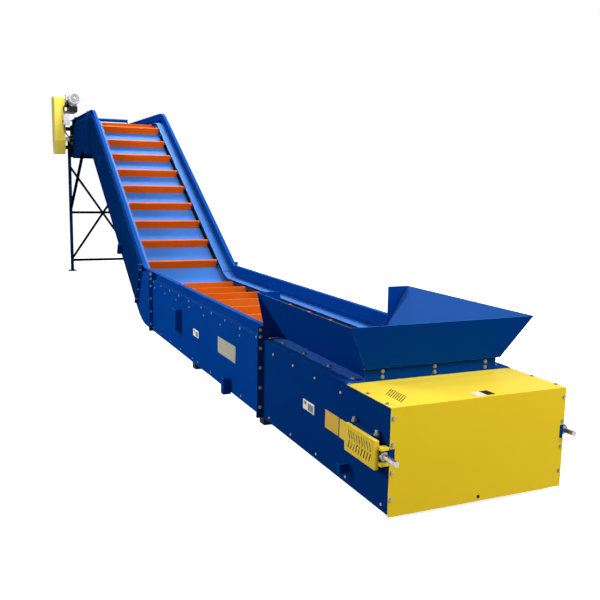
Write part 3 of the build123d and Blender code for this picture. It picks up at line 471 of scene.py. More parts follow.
metalPlan = {
    # name: (slot, colour, darker colour, metallic, roughness)
    "zincBolt": ("bare_steel", (150, 147, 134), (112, 110, 104), 0.6, 0.42),
    "brightSteel": ("bare_steel", (190, 190, 192), (96, 98, 104), 0.9, 0.28),
    "chainSteel": ("black_steel", (34, 30, 28), (16, 14, 13), 0.1, 0.6),
    "motorGrey": ("motor_grey", (232, 230, 224), (210, 208, 202), 0.0, 0.42),
    "castBlack": ("black_cast", (26, 26, 28), (14, 14, 16), 0.0, 0.5),
    "boxGrey": ("switch_grey", (220, 218, 220), (204, 202, 206), 0.0, 0.4),
    "knobRed": ("switch_grey", (190, 38, 30), (160, 26, 20), 0.0, 0.35),
    # black that stands for shade in gaps, holes and under the strips; the floor sills wear it too
    "gapShadeBlack": ("black_steel", (10, 10, 12), (4, 4, 5), 0.0, 0.7),
    "plateCream": ("bare_steel", (150, 148, 126), (128, 126, 104), 0.0, 0.42),
    "labelWhite": ("switch_grey", (232, 230, 226), (214, 212, 208), 0.0, 0.45),
    "labelAmber": ("yellow_paint", (202, 162, 10), (190, 150, 8), 0.0, 0.42),
    "conduitGrey": ("black_steel", (74, 80, 76), (52, 58, 54), 0.0, 0.5),
    "labelRust": ("switch_grey", (176, 74, 52), (160, 60, 40), 0.0, 0.45),
    "labelGrey": ("switch_grey", (110, 114, 122), (96, 100, 108), 0.0, 0.45),
    "labelDark": ("black_steel", (52, 26, 20), (38, 18, 14), 0.0, 0.5),
    "paleBolt": ("bare_steel", (124, 138, 158), (96, 110, 132), 0.0, 0.45),
    # blue darker than the side paint: painted shade on the incline and head bolts
    "shadedBlueBolt": ("blue_paint", (6, 36, 84), (3, 24, 62), 0.0, 0.5),
    "grilleGrey": ("motor_grey", (120, 120, 120), (104, 104, 104), 0.0, 0.5),
    "capYellow": ("yellow_paint", (232, 204, 60), (220, 190, 44), 0.0, 0.45),
}


metalLook = {
    "grain": {"Peel": 600.0, "Clouds": 24.0},
    "wearAndHighlight": {"Amount": 0.4, "Radius": 0.0012},
    "edgeHighlightLift": 36, "roughBelow": 0.08, "roughAbove": 0.1, "metalSpecular": 0.5, "paintSpecular": 0.12,
    "bump": 0.1, "bumpDepth": 0.0004,
}


def metalMaterial(name):
    look = metalLook
    slot, colour, darker, metallic, rough = metalPlan[name]
    material, tree, shader = newFinish(name)
    grain = placeGroup(tree, "paintGrain", look["grain"])
    wearAndHighlight = placeGroup(tree, "edgeWearAndHighlight", look["wearAndHighlight"])
    base = mixColours(tree, grain.outputs["Cloud"], screenColour(*darker), screenColour(*colour))
    # edges lifted lighter: wear and a painted highlight
    edgeHighlight = [min(255, channel + look["edgeHighlightLift"]) for channel in colour]
    wornAndHighlit = mixColours(tree, wearAndHighlight.outputs["Mask"], base, screenColour(*edgeHighlight))
    tree.links.new(wornAndHighlit, shader.inputs["Base Color"])
    smooth = rough - look["roughBelow"]
    dull = rough + look["roughAbove"]
    tree.links.new(rangeOf(tree, grain.outputs["Cloud"], smooth, dull), shader.inputs["Roughness"])
    shader.inputs["Metallic"].default_value = metallic
    specular = look["metalSpecular"] if metallic else look["paintSpecular"]
    shader.inputs["Specular IOR Level"].default_value = specular
    bumpFrom(tree, shader, grain.outputs["Height"], look)
    return material


finishes = {name: paintMaterial(name) for name in finishPlan}
finishes["flightOrange"] = flightMaterial()
finishes.update({name: metalMaterial(name) for name in metalPlan})
slotOf = {name: plan["slot"] for name, plan in finishPlan.items()}
slotOf.update({name: plan[0] for name, plan in metalPlan.items()})
slotOf["flightOrange"] = "orange_plastic"

# CAD nodes and the finish each one wears
nodeFinish = {
    "bedBlueReflectionLit": ["bed_level", "bed_bend", "bed_incline", "bed_head", "strips_level", "strips_bend",
                "strips_incline", "strips_head"],
    "shadedSideBlue": ["tail_sides", "tail_bottom", "hopper_front_plate", "head_sides"],
    "hopperBlue": ["hopper", "hopper_rear_plates"],
    "safetyYellow": ["tail_cover", "takeup_guards"],
    "guardYellow": ["drive_guard"],
    "flightOrange": ["flights"],
    "chainSteel": ["chains"],
    "brightSteel": ["tail_shaft", "head_shaft", "takeup_screws"],
    "motorGrey": ["motor"],
    "castBlack": ["gear_reducer", "head_bearings", "drive_bracket"],
    "gapShadeBlack": ["floor_sills"],
    "boxGrey": ["switch_box"],
    "conduitGrey": ["conduits"],
    "frameShadedBlue": ["legs", "takeup_frames", "incline_sides"],
    "braceShadedBlue": ["leg_rails", "leg_cross", "knee_braces"],
}
finishByNode = {node: finish for finish, members in nodeFinish.items() for node in members}
for nodeName, nodeObject in nodes.items():
    nodeObject.data.materials.clear()
    nodeObject.data.materials.append(finishes[finishByNode.get(nodeName, "deepBlue")])
print("finishes laid on the CAD nodes")


# mesh helpers that every piece below uses
meshPlan = {
    "sharpAngle": 32,    # degrees
    "bevelProfile": 0.6,
    "sunk": 0.001,       # how far a small piece reaches into what carries it
    "hexSides": 6, "roundSides": 14, "smoothSides": 20,
}


def latheOn(bm, place, profile, sides):
    # closed turned form, profile = (radius, height) from its foot to its top
    rings = []
    for radius, height in profile:
        ring = []
        for step in range(sides):
            turn = 2 * pi * step / sides
            ring.append(bm.verts.new(place @ Vector((radius * cos(turn), radius * sin(turn), height))))
        rings.append(ring)
    for below, above in zip(rings, rings[1:]):
        for step in range(sides):
            after = (step + 1) % sides
            bm.faces.new((below[step], below[after], above[after], above[step]))
    bm.faces.new(rings[-1])
    bm.faces.new(list(reversed(rings[0])))


def blockOn(bm, place, low, high, rounding=0.0, segments=2):
    corners = bmesh.ops.create_cube(bm, size=1.0)["verts"]
    for corner in corners:
        share = corner.co + Vector((0.5, 0.5, 0.5))
        corner.co = place @ Vector([a + s * (b - a) for a, b, s in zip(low, high, share)])
    if rounding:
        edges = list({edge for corner in corners for edge in corner.link_edges})
        bmesh.ops.bevel(bm, geom=edges, offset=rounding, segments=segments, affect="EDGES",
                        profile=meshPlan["bevelProfile"])


def facing(place, normal):
    # local Z looks along the normal
    return Matrix.Translation(place) @ Vector(normal).to_track_quat("Z", "Y").to_matrix().to_4x4()


def finishPiece(name, bm, finish, body="conveyor"):
    mesh = bpy.data.meshes.new(name)
    bmesh.ops.recalc_face_normals(bm, faces=bm.faces)
    bm.to_mesh(mesh)
    bm.free()
    mesh.shade_smooth()
    mesh.set_sharp_from_angle(angle=radians(meshPlan["sharpAngle"]))
    mesh.materials.append(finishes[finish])
    piece = bpy.data.objects.new(name, mesh)
    bpy.context.scene.collection.objects.link(piece)
    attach(piece, body)


# the trough's route, read from the frame
routePlan = {
    "incline": 30.5,      # degrees
    "lowerBend": 5.124,   # where the lip's two straight lines would meet
    "joint": 0.090,       # depth of the bolted joint below the lip
    "flangeThick": 0.008,
}
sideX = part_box("tail_cover")[1][0]
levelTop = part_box("mid_boards")[1][2]
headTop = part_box("head_boards")[1][2]
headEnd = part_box("head_boards")[1][1]
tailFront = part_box("tail_cover")[0][1]
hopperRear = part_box("tail_sides")[1][1]
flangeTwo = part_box("mid_sides")[1][1]
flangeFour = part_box("head_sides")[0][1]
slope = radians(routePlan["incline"])
inclineLong = (headTop - levelTop) / sin(slope)
upperBend = routePlan["lowerBend"] + inclineLong * cos(slope)
routeStarts = {
    "level": (0.0, levelTop, 0.0),
    "incline": (routePlan["lowerBend"], levelTop, slope),
    "head": (upperBend, headTop, 0.0),
}


def onRoute(run, along, depth, x):
    # matrix on the trough: local Y along it, local Z away from its floor
    startY, startZ, lean = routeStarts[run]
    turn = Matrix.Rotation(lean, 4, "X")
    return Matrix.Translation((x, startY, startZ)) @ turn @ Matrix.Translation((0, along, -depth))


outward = {side: Matrix.Rotation(side * pi / 2, 4, "Y") for side in (-1, 1)}
backward = Matrix.Rotation(pi / 2, 4, "X")
forward = Matrix.Rotation(-pi / 2, 4, "X")

# bolts
boltPlan = {
    "headRadius": 0.0105, "headHigh": 0.007, "washerRadius": 0.0135, "washerThick": 0.0025,
    "domeSides": 12, "smallScale": 0.8, "plateScale": 0.9,
    "washer": ((1.0, 0.8), (0.97, 1.0)),                 # shares of the radius and the thickness
    "head": ((1.0, 0.0), (1.0, 0.85), (0.86, 1.0)),      # shares of the radius and the height
    "dome": ((1.0, 0.3), (0.8, 0.8), (0.35, 1.0)),
    "domeRadius": 0.0085, "domeHigh": 0.004, "lipRadius": 0.0095,
    "flangeDepths": {
        "level": (0.026, 0.073, 0.150, 0.284, 0.421, 0.555),
        "bend": (0.073, 0.212, 0.350, 0.493),
        "head": (0.026, 0.073, 0.166, 0.302, 0.439, 0.577),
    },
    "flangeX": 0.555,
    "flangeThree": 0.074,     # along the incline
    "rearPlate": 0.004,
    "lipDepth": 0.103,
    "lipLevel": (1.650, 1.982, 2.326, 2.672, 2.956, 3.332, 3.673, 4.014, 4.355, 4.696),
    "lipPitch": 0.341,
    "lipEnds": {"incline": (0.20, 0.20), "head": (0.20, 0.05)},     # clear of the run's start and end
    "stripDepth": 0.157,
    "stripLevel": (1.988, 2.438, 2.882, 3.327, 3.773, 4.203, 4.640),
    "stripTail": (0.381, 0.705, 1.017, 1.341),
    "stripPitch": 0.444,
    "stripEnds": {"incline": (0.28, 0.28), "head": (0.38, 0.40)},
    "bottomDepth": 0.598,
    "bottomLevel": (1.953, 2.314, 2.688, 3.059, 3.223, 3.621, 3.988, 4.365, 4.720),
    "bottomTail": (-0.074, 0.301, 0.667, 1.035, 1.393),
    "bottomPitch": 0.370,
    "bottomEnds": {"incline": (0.48, 0.10), "head": (0.38, 0.10)},
    "coverX": 0.5196,
    "coverFront": (0.533, 0.402, 0.263, 0.129),
    "coverTop": (-0.076, 0.113, 0.308),
    "hopperFoot": (0.370, 0.660, 0.999, 1.327),
    "hopperFootX": 0.468,
    "hopperFootSheet": 0.005,
    "frontPlateX": (-0.32, 0.011, 0.352),
    "frontPlateZ": (0.637, 0.605),
}


# painted over with the sides past the level run; past it the bolts are darker than the side paint, a painted
# shade
boltFinish = {"tail": "zincBolt", "level": "paleBolt", "incline": "shadedBlueBolt", "head": "shadedBlueBolt"}


def hexBolt(bm, place, scale=1.0):
    head = boltPlan["headRadius"] * scale
    rise = boltPlan["headHigh"] * scale
    washer = boltPlan["washerRadius"] * scale
    thick = boltPlan["washerThick"] * scale
    foot = [(washer, -meshPlan["sunk"])]
    disc = foot + [(washer * out, thick * up) for out, up in boltPlan["washer"]]
    latheOn(bm, place, disc, meshPlan["roundSides"])
    top = [(head * out, thick + rise * up) for out, up in boltPlan["head"]]
    latheOn(bm, place, top, meshPlan["hexSides"])


def domeBolt(bm, place, radius=boltPlan["domeRadius"], rise=boltPlan["domeHigh"]):
    foot = [(radius, -meshPlan["sunk"])]
    profile = foot + [(radius * out, rise * up) for out, up in boltPlan["dome"]]
    latheOn(bm, place, profile, boltPlan["domeSides"])


def steps(run, ends, pitch):
    # evenly spaced places on a run, clear of its two ends
    first, short = ends[run]
    last = {"incline": inclineLong, "head": headEnd - upperBend}[run] - short
    return [first + pitch * number for number in range(int((last - first) / pitch) + 1)]


def flangeBolts():
    joints = [
        ("tail", "zincBolt", "level", hopperRear, "level"),
        ("level", "paleBolt", "level", flangeTwo, "level"),
        ("bend", "paleBolt", "incline", boltPlan["flangeThree"], "bend"),
        ("head", "shadedBlueBolt", "head", flangeFour - upperBend, "head"),
    ]
    for name, finish, run, along, depths in joints:
        bm = bmesh.new()
        for depth in boltPlan["flangeDepths"][depths]:
            for side in (-1, 1):
                place = onRoute(run, along, depth, side * boltPlan["flangeX"])
                thick = routePlan["flangeThick"]
                onPlate = along == hopperRear and depth < routePlan["joint"]
                before = boltPlan["rearPlate"] if onPlate else thick
                hexBolt(bm, place @ Matrix.Translation((0, -before, 0)) @ backward)
                hexBolt(bm, place @ Matrix.Translation((0, thick, 0)) @ forward)
        finishPiece(name + "FlangeBolts", bm, finish)


def lipBolts():
    runs = {run: steps(run, boltPlan["lipEnds"], boltPlan["lipPitch"]) for run in ("incline", "head")}
    runs = {"level": boltPlan["lipLevel"], **runs}
    for run, places in runs.items():
        bm = bmesh.new()
        for along in places:
            for side in (-1, 1):
                place = onRoute(run, along, boltPlan["lipDepth"], side * sideX) @ outward[side]
                domeBolt(bm, place, boltPlan["lipRadius"])
        finishPiece(run + "LipBolts", bm, boltFinish[run])


def sideBolts():
    rows = [
        ("tail", boltPlan["stripTail"], boltPlan["stripDepth"]),
        ("tail", boltPlan["bottomTail"], boltPlan["bottomDepth"]),
        ("level", boltPlan["stripLevel"], boltPlan["stripDepth"]),
        ("level", boltPlan["bottomLevel"], boltPlan["bottomDepth"]),
    ]
    for run in ("incline", "head"):
        for row in ("strip", "bottom"):
            places = steps(run, boltPlan[row + "Ends"], boltPlan[row + "Pitch"])
            rows.append((run, places, boltPlan[row + "Depth"]))
    meshes = {run: bmesh.new() for run in boltFinish}
    for run, places, depth in rows:
        start = "level" if run == "tail" else run
        for along in places:
            for side in (-1, 1):
                domeBolt(meshes[run], onRoute(start, along, depth, side * sideX) @ outward[side])
    for run, bm in meshes.items():
        finishPiece(run + "SideBolts", bm, boltFinish[run])


def coverBolts():
    bm = bmesh.new()
    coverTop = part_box("tail_cover")[1][2]
    for side in (-1, 1):
        x = side * boltPlan["coverX"]
        for z in boltPlan["coverFront"]:
            hexBolt(bm, Matrix.Translation((x, tailFront, z)) @ backward, boltPlan["smallScale"])
        for y in boltPlan["coverTop"]:
            hexBolt(bm, Matrix.Translation((x, y, coverTop)), boltPlan["smallScale"])
    finishPiece("coverBolts", bm, "zincBolt")


def hopperBolts():
    bm = bmesh.new()
    footTop = levelTop - routePlan["joint"] + boltPlan["hopperFootSheet"]
    for y in boltPlan["hopperFoot"]:
        for side in (-1, 1):
            hexBolt(bm, Matrix.Translation((side * boltPlan["hopperFootX"], y, footTop)))
    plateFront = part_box("hopper_front_plate")[0][1]
    for x in boltPlan["frontPlateX"]:
        for z in boltPlan["frontPlateZ"]:
            hexBolt(bm, Matrix.Translation((x, plateFront, z)) @ backward, boltPlan["plateScale"])
    finishPiece("hopperBolts", bm, "zincBolt")


flightBoltPlan = {
    "lugX": 0.43,            # the lugs' end faces lie past this
    "facesOut": 0.9,
    "apart": 0.06,           # grid that sorts the faces by lug
    "chainDepth": 0.19, "near": 0.012, "halfThick": 0.0125, "x": 0.399, "depths": (0.176, 0.238),
    "radius": 0.009,
    "straight": {"level": (0.3, 4.9), "incline": (0.2, inclineLong - 0.1), "head": (0.2, 1.9)},
}


def flightBolts():
    # on the front faces of the flights that lie on top, beside their lugs
    plan = flightBoltPlan
    lugs = {}
    for polygon in nodes["flights"].data.polygons:
        if polygon.center.x > plan["lugX"] and polygon.normal.x > plan["facesOut"]:
            key = (round(polygon.center.y / plan["apart"]), round(polygon.center.z / plan["apart"]))
            lugs.setdefault(key, []).append(polygon.center.copy())
    bm = bmesh.new()
    for centres in lugs.values():
        middle = sum(centres, Vector()) / len(centres)
        for run, (startY, startZ, lean) in routeStarts.items():
            along = (middle.y - startY) * cos(lean) + (middle.z - startZ) * sin(lean)
            below = (middle.y - startY) * sin(lean) - (middle.z - startZ) * cos(lean)
            start, stop = plan["straight"][run]
            if abs(below - plan["chainDepth"]) > plan["near"] or not start < along < stop:
                continue
            for side in (-1, 1):
                for depth in plan["depths"]:
                    place = onRoute(run, along - plan["halfThick"], depth, side * plan["x"])
                    domeBolt(bm, place @ backward, plan["radius"])
    finishPiece("flightBolts", bm, "zincBolt")


flangeBolts()
lipBolts()
sideBolts()
coverBolts()
hopperBolts()
flightBolts()
print("bolts placed")

# blank plates riveted to the near side
signPlan = {
    # name: (finish, y from, y to, z from, z to, thickness)
    "makerPlate": ("plateCream", 2.077, 2.498, 0.294, 0.421, 0.002),
    "sideLabelRear": ("labelWhite", 3.039, 3.198, 0.295, 0.357, 0.0008),
    "sideLabelFront": ("labelWhite", 0.703, 0.858, 0.303, 0.362, 0.0008),
    "sideLabelAmber": ("labelAmber", 0.393, 0.557, 0.277, 0.381, 0.0008),
}
rivetInset = 0.014
rivetSize = (0.004, 0.002)    # radius and height
plateRound = 0.3              # share of a plate's thickness
labelSunk = 0.0004
coverLabelHigh = 0.0008
coverLabel = (-0.020, 0.037, 0.090, tailFront + 0.025, tailFront + 0.095)
labelPanels = {
    # name: (finish, from and to along the label, from and to up it)
    "Bar": ("labelRust", 0.70, 0.90, 0.52, 0.86),
    "Panel": ("labelGrey", 0.08, 0.56, 0.10, 0.80),
}


def buildSigns():
    for name, (finish, y0, y1, z0, z1, thick) in signPlan.items():
        bm = bmesh.new()
        blockOn(bm, Matrix(), (-sideX - thick, y0, z0), (-sideX + labelSunk, y1, z1), thick * plateRound, 1)
        finishPiece(name, bm, finish)
    y0, y1, z0, z1, thick = signPlan["makerPlate"][1:]
    bm = bmesh.new()
    for y in (y0 + rivetInset, y1 - rivetInset):
        for z in (z0 + rivetInset, z1 - rivetInset):
            domeBolt(bm, Matrix.Translation((-sideX - thick, y, z)) @ outward[-1], *rivetSize)
    finishPiece("makerPlateRivets", bm, "zincBolt")
    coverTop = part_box("tail_cover")[1][2]
    left, middle, right, front, rear = coverLabel
    low, high = coverTop - labelSunk, coverTop + coverLabelHigh
    for name, tone, x0, x1 in (
        ("coverLabel", "labelWhite", left, middle), ("coverLabelDark", "labelDark", middle, right),
    ):
        bm = bmesh.new()
        blockOn(bm, Matrix(), (x0, front, low), (x1, rear, high))
        finishPiece(name, bm, tone)
    # panels on the two side labels, along Y and along Z as shares of the label
    for name in ("sideLabelRear", "sideLabelFront"):
        y0, y1, z0, z1, thick = signPlan[name][1:]
        for part, (tone, start, stop, low, high) in labelPanels.items():
            bm = bmesh.new()
            partLow = (-sideX - thick - labelSunk, y0 + start * (y1 - y0), z0 + low * (z1 - z0))
            partHigh = (-sideX, y0 + stop * (y1 - y0), z0 + high * (z1 - z0))
            blockOn(bm, Matrix(), partLow, partHigh)
            finishPiece(name + part, bm, tone)


buildSigns()
print("plates placed")

# black sheet under the vents as painted shade inside the cover, take-up bolts, tabs and nuts
tailPlan = {
    "vent": ((-0.470, tailFront + 0.060), (-0.326, tailFront + 0.306)),
    "sheet": 0.003, "shadeSheetLow": 0.0015, "shadeSheetHigh": 0.0004,
    "holeX": -0.003, "holeZ": 0.064, "hole": ((0.0095, -0.001), (0.0095, 0.0006)),
    "frameTop": 0.425, "railX": 0.0200,
    "frameBolts": (0.185, -0.045), "boltHigh": 0.026, "boltRadius": 0.0085,
    "headWide": 1.8, "headHigh": 0.45, "stem": ((1.0, 0.4), (1.0, 0.92), (0.8, 1.0)),
    "tabFront": -0.136, "tabRear": -0.100, "tabOut": 0.046, "tabRound": 0.002,
    "tabs": ((0.376, 0.392), (0.298, 0.314)),
    "nut": ((0.025, -0.001), (0.025, 0.0162), (0.021, 0.018)), "bossFront": -0.112, "shaftZ": 0.345,
}


def buildTailDetails():
    plan = tailPlan
    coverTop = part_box("tail_cover")[1][2]
    (x0, y0), (x1, y1) = plan["vent"]
    # black sheet under the vent slots: painted shade inside the cover
    below = coverTop - plan["sheet"]
    bm = bmesh.new()
    blockOn(bm, Matrix(), (x0, y0, below - plan["shadeSheetLow"]), (x1, y1, below - plan["shadeSheetHigh"]))
    finishPiece("ventShadeSheet", bm, "gapShadeBlack")
    # black disc in the cover's hole: painted shade inside it
    bm = bmesh.new()
    hole = Matrix.Translation((plan["holeX"], tailFront, plan["holeZ"])) @ backward
    latheOn(bm, hole, plan["hole"], meshPlan["smoothSides"])
    finishPiece("coverHoleShade", bm, "gapShadeBlack")
    bolts = bmesh.new()
    tabs = bmesh.new()
    stem = plan["boltRadius"]
    top = plan["boltHigh"]
    for side in (-1, 1):
        for y in plan["frameBolts"]:
            place = Matrix.Translation((side * (sideX + plan["railX"]), y, plan["frameTop"]))
            head = stem * plan["headWide"]
            headForm = [(head, -meshPlan["sunk"]), (head, top * plan["headHigh"])]
            latheOn(bolts, place, headForm, meshPlan["hexSides"])
            stemForm = [(stem * out, top * up) for out, up in plan["stem"]]
            latheOn(bolts, place, stemForm, meshPlan["roundSides"])
        nutPlace = Matrix.Translation((side * (sideX + plan["railX"]), plan["bossFront"], plan["shaftZ"]))
        latheOn(bolts, nutPlace @ backward, plan["nut"], meshPlan["hexSides"])
    for low, high in plan["tabs"]:
        tabLow = (-sideX - plan["tabOut"], plan["tabFront"], low)
        blockOn(tabs, Matrix(), tabLow, (-sideX, plan["tabRear"], high), plan["tabRound"])
    finishPiece("takeupBolts", bolts, "zincBolt")
    finishPiece("takeupTabs", tabs, "capYellow")


buildTailDetails()
print("tail dressed")

# small plates that close the hopper's corners
cornerPlan = {
    "inner": 0.386, "outer": 0.430, "low": 0.5902, "sheet": 0.004, "rise": 0.066,
    "frontLong": 0.042, "thick": 0.0048, "clear": 0.0002,
}


def buildHopperCorners():
    plan = cornerPlan
    rear = hopperRear - plan["clear"]
    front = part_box("hopper_front_plate")[1][1]
    bm = bmesh.new()
    for side in (-1, 1):
        inner = side * plan["inner"]
        outer = side * plan["outer"]
        left, right = min(inner, outer), max(inner, outer)
        low = (left, rear - plan["sheet"], plan["low"])
        blockOn(bm, Matrix(), low, (right, rear, plan["low"] + plan["rise"]))
        frontHigh = (right, front + plan["frontLong"], plan["low"] + plan["thick"])
        blockOn(bm, Matrix(), (left, front, plan["low"]), frontHigh)
    finishPiece("hopperCorners", bm, "hopperBlue")


buildHopperCorners()

# dark bands on the bed under the guard strips: painted shade
stripShadePlan = {
    "inner": 0.430, "outer": 0.520, "depth": 0.2598, "thick": 0.0004,
    "runs": {"incline": (0.35, inclineLong - 0.25), "head": (0.25, 1.75)},
}


def buildStripShade():
    bm = bmesh.new()
    for run, (start, stop) in stripShadePlan["runs"].items():
        for side in (-1, 1):
            place = onRoute(run, 0.0, stripShadePlan["depth"], 0.0)
            near = side * stripShadePlan["inner"]
            far = side * stripShadePlan["outer"]
            low = (min(near, far), start, -stripShadePlan["thick"])
            blockOn(bm, place, low, (max(near, far), stop, stripShadePlan["thick"]))
    finishPiece("stripShadeTracks", bm, "gapShadeBlack")


buildStripShade()

# motor fins, fan grille and terminal box lid
motorPlan = {
    "fins": 28, "finThick": 0.0028, "finHigh": 0.010, "bodyRadius": 0.088, "cowlRadius": 0.099,
    "flangeRadius": 0.100, "flangeLong": 0.020, "cowlLong": 0.090, "grilleRings": 3, "ringSides": 40,
    "boxFront": 0.130, "boxRear": 0.240, "boxLow": -0.025, "boxHigh": 0.065, "lidThick": 0.010,
    "lidOver": 0.003, "lidRound": 0.004, "screwInset": 0.010, "screw": (0.005, 0.003),
    "grille": (0.30, 0.17, 0.0042, 0.0012),     # first ring, step, half width, thickness
    "hub": ((0.020, -0.001), (0.020, 0.003), (0.014, 0.005)), "hubSides": 24,
    "finSunk": 0.002, "finRound": 0.0008, "grilleAhead": 0.0005,
}


def ringOn(bm, place, radius, halfWide, thick, sides):
    # flat ring with a hole
    outer = radius + halfWide
    inner = radius - halfWide
    profile = [(outer, 0.0), (outer, thick), (inner, thick), (inner, 0.0)]
    rings = []
    for reach, height in profile:
        ring = []
        for step in range(sides):
            turn = 2 * pi * step / sides
            ring.append(bm.verts.new(place @ Vector((reach * cos(turn), reach * sin(turn), height))))
        rings.append(ring)
    for here, there in zip(rings, rings[1:] + rings[:1]):
        for step in range(sides):
            after = (step + 1) % sides
            bm.faces.new((here[step], here[after], there[after], there[step]))


def buildMotorDetails():
    low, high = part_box("motor")
    plan = motorPlan
    axisX = high[0] - plan["flangeRadius"]
    axisZ = high[2] - plan["flangeRadius"]
    body = plan["bodyRadius"]
    finFrom = low[1] + plan["cowlLong"] - meshPlan["sunk"]
    finTo = high[1] - plan["flangeLong"] - meshPlan["sunk"]
    half = plan["finThick"] / 2
    finLow = (-half, finFrom, body - plan["finSunk"])
    finHigh = (half, finTo, body + plan["finHigh"])
    bm = bmesh.new()
    for number in range(plan["fins"]):
        turn = Matrix.Rotation(2 * pi * (number + 0.5) / plan["fins"], 4, "Y")
        place = Matrix.Translation((axisX, 0, axisZ)) @ turn
        blockOn(bm, place, finLow, finHigh, plan["finRound"], 1)
    finishPiece("motorFins", bm, "motorGrey")
    front = facing((axisX, low[1] - plan["grilleAhead"], axisZ), (0, -1, 0))
    first, step, halfWide, thick = plan["grille"]
    bm = bmesh.new()
    for ring in range(plan["grilleRings"]):
        ringOn(bm, front, plan["cowlRadius"] * (first + step * ring), halfWide, thick, plan["ringSides"])
    finishPiece("motorGrille", bm, "grilleGrey")
    bm = bmesh.new()
    latheOn(bm, front, plan["hub"], plan["hubSides"])
    finishPiece("motorHub", bm, "motorGrey")
    boxX = low[0]
    lid = plan["lidThick"]
    over = plan["lidOver"]
    lidLow = (boxX - lid, low[1] + plan["boxFront"] - over, axisZ + plan["boxLow"] - over)
    lidHigh = (boxX + meshPlan["sunk"], low[1] + plan["boxRear"] + over, axisZ + plan["boxHigh"] + over)
    bm = bmesh.new()
    blockOn(bm, Matrix(), lidLow, lidHigh, plan["lidRound"])
    finishPiece("terminalLid", bm, "motorGrey")
    inset = plan["screwInset"]
    bm = bmesh.new()
    for y in (lidLow[1] + inset, lidHigh[1] - inset):
        for z in (lidLow[2] + inset, lidHigh[2] - inset):
            domeBolt(bm, Matrix.Translation((boxX - lid, y, z)) @ outward[-1], *plan["screw"])
    finishPiece("terminalScrews", bm, "zincBolt")


buildMotorDetails()
print("motor dressed")

# gear reducer ribs, cover bolts and breather
gearPlan = {
    "ribs": 5, "ribThick": 0.006, "ribOut": 0.007, "caseLong": 0.215, "footHigh": 0.084,
    "ribFirst": 0.055, "ribClear": 0.100, "ribInner": 0.008, "ribOuter": 0.110, "ribSunk": 0.002,
    "ribRound": 0.0015,
    "breatherAt": (0.095, 0.040),
    "breather": ((0.014, 0), (0.014, 0.008), (0.009, 0.010), (0.009, 0.020), (0.006, 0.022)),
    "boltClear": 0.030, "boltBelow": 0.045, "footBolts": (0.020, 0.180), "footBoltClear": 0.022,
}


def buildGearDetails():
    low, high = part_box("gear_reducer")
    plan = gearPlan
    caseTop = high[2]
    rearFace = high[1]
    frontFace = rearFace - plan["caseLong"]
    inner = high[0]
    half = plan["ribThick"] / 2
    bm = bmesh.new()
    for number in range(plan["ribs"]):
        y = frontFace + plan["ribFirst"] + number * (plan["caseLong"] - plan["ribClear"]) / (plan["ribs"] - 1)
        ribLow = (inner - plan["ribOuter"], y - half, caseTop - plan["ribSunk"])
        ribHigh = (inner - plan["ribInner"], y + half, caseTop + plan["ribOut"])
        blockOn(bm, Matrix(), ribLow, ribHigh, plan["ribRound"], 1)
    inward, before = plan["breatherAt"]
    breatherPlace = Matrix.Translation((inner - inward, rearFace - before, caseTop))
    latheOn(bm, breatherPlace, plan["breather"], boltPlan["domeSides"])
    finishPiece("gearRibs", bm, "castBlack")
    bm = bmesh.new()
    footTop = low[2] + plan["footHigh"]
    clear = plan["boltClear"]
    places = [(y, z) for y in (frontFace + clear, (frontFace + rearFace) / 2, rearFace - clear)
              for z in (footTop + clear, caseTop - plan["boltBelow"])]
    clear = plan["footBoltClear"]
    places += [(low[1] + along, z) for along in plan["footBolts"] for z in (low[2] + clear, footTop - clear)]
    for y, z in places:
        hexBolt(bm, Matrix.Translation((inner, y, z)) @ outward[1], boltPlan["smallScale"])
    finishPiece("gearBolts", bm, "zincBolt")


buildGearDetails()

# switch box lid, screws, knob rim and glands
switchPlan = {
    "boxDeep": 0.095, "lidThick": 0.010, "lidOver": 0.003, "lidSunk": 0.002, "boxOut": 0.175, "boxIn": 0.082,
    "screwInset": 0.010, "screw": (0.0045, 0.0025), "glandTop": 0.1605, "glandUnder": 0.1635,
    "glandBefore": 0.0025, "knobHigh": 0.058,
    "gland": ((0.016, -0.001), (0.016, 0.008), (0.013, 0.010), (0.013, 0.020), (0.0105, 0.023)),
    "knob": ((0.019, -0.001), (0.019, 0.004), (0.015, 0.006), (0.0145, 0.018), (0.011, 0.0205)),
}


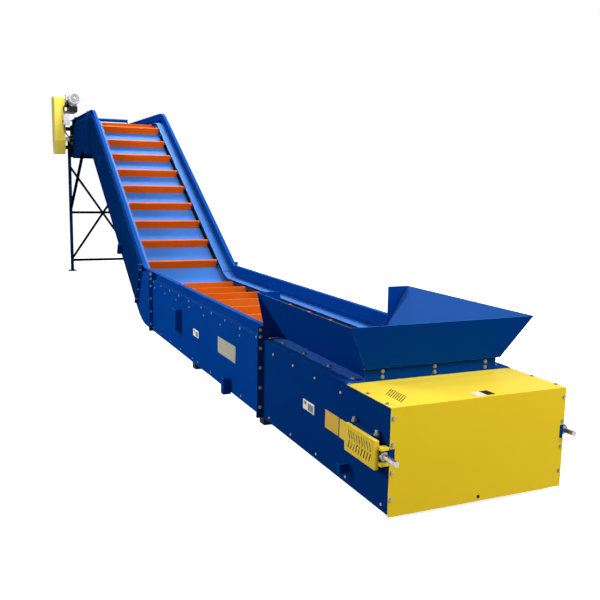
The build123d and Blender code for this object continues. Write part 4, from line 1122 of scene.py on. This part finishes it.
def buildSwitchDetails():
    low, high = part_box("switch_box")
    plan = switchPlan
    front = low[1]
    outer = -sideX - plan["boxOut"]
    inner = -sideX - plan["boxIn"]
    over = plan["lidOver"]
    bm = bmesh.new()
    lidLow = (outer - over, front - plan["lidThick"], low[2] - over)
    lidHigh = (inner + over, front + plan["lidSunk"], high[2] + over)
    blockOn(bm, Matrix(), lidLow, lidHigh, over)
    finishPiece("switchLid", bm, "boxGrey")
    inset = plan["screwInset"]
    bm = bmesh.new()
    for x in (outer + inset, inner - inset):
        for z in (low[2] + inset, high[2] - inset):
            domeBolt(bm, Matrix.Translation((x, lidLow[1], z)) @ backward, *plan["screw"])
    turnDown = Matrix.Rotation(pi, 4, "X")
    middleY = front + plan["boxDeep"] / 2
    glandY = middleY - plan["glandBefore"]
    over = Matrix.Translation((-sideX - plan["glandTop"], glandY, high[2]))
    latheOn(bm, over, plan["gland"], meshPlan["roundSides"])
    under = Matrix.Translation((-sideX - plan["glandUnder"], glandY, low[2]))
    latheOn(bm, under @ turnDown, plan["gland"], meshPlan["roundSides"])
    finishPiece("switchScrews", bm, "zincBolt")
    bm = bmesh.new()
    knobPlace = Matrix.Translation((outer, middleY, low[2] + plan["knobHigh"]))
    latheOn(bm, knobPlace @ outward[-1], plan["knob"], meshPlan["smoothSides"])
    finishPiece("switchKnob", bm, "knobRed")


buildSwitchDetails()
print("drive dressed")

# head bearings' bolts and the legs' anchor bolts
standPlan = {
    "bearingPitch": 0.120, "bearingThick": 0.016, "anchorPitch": 0.090, "plateThick": 0.012, "legHalf": 0.065,
}


def buildStandBolts():
    bm = bmesh.new()
    low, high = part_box("head_bearings")
    middleY = (low[1] + high[1]) / 2
    middleZ = (low[2] + high[2]) / 2
    reach = standPlan["bearingPitch"] / 2
    face = sideX + standPlan["bearingThick"]
    for side in (-1, 1):
        for y in (middleY - reach, middleY + reach):
            for z in (middleZ - reach, middleZ + reach):
                hexBolt(bm, Matrix.Translation((side * face, y, z)) @ outward[side])
    low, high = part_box("legs")
    legX = high[0] - standPlan["legHalf"]
    legY = high[1] - standPlan["legHalf"]
    reach = standPlan["anchorPitch"] / 2
    for side in (-1, 1):
        for x in (side * legX - reach, side * legX + reach):
            for y in (legY - reach, legY + reach):
                hexBolt(bm, Matrix.Translation((x, y, standPlan["plateThick"])))
    finishPiece("standBolts", bm, "zincBolt")


buildStandBolts()
print("stand dressed")
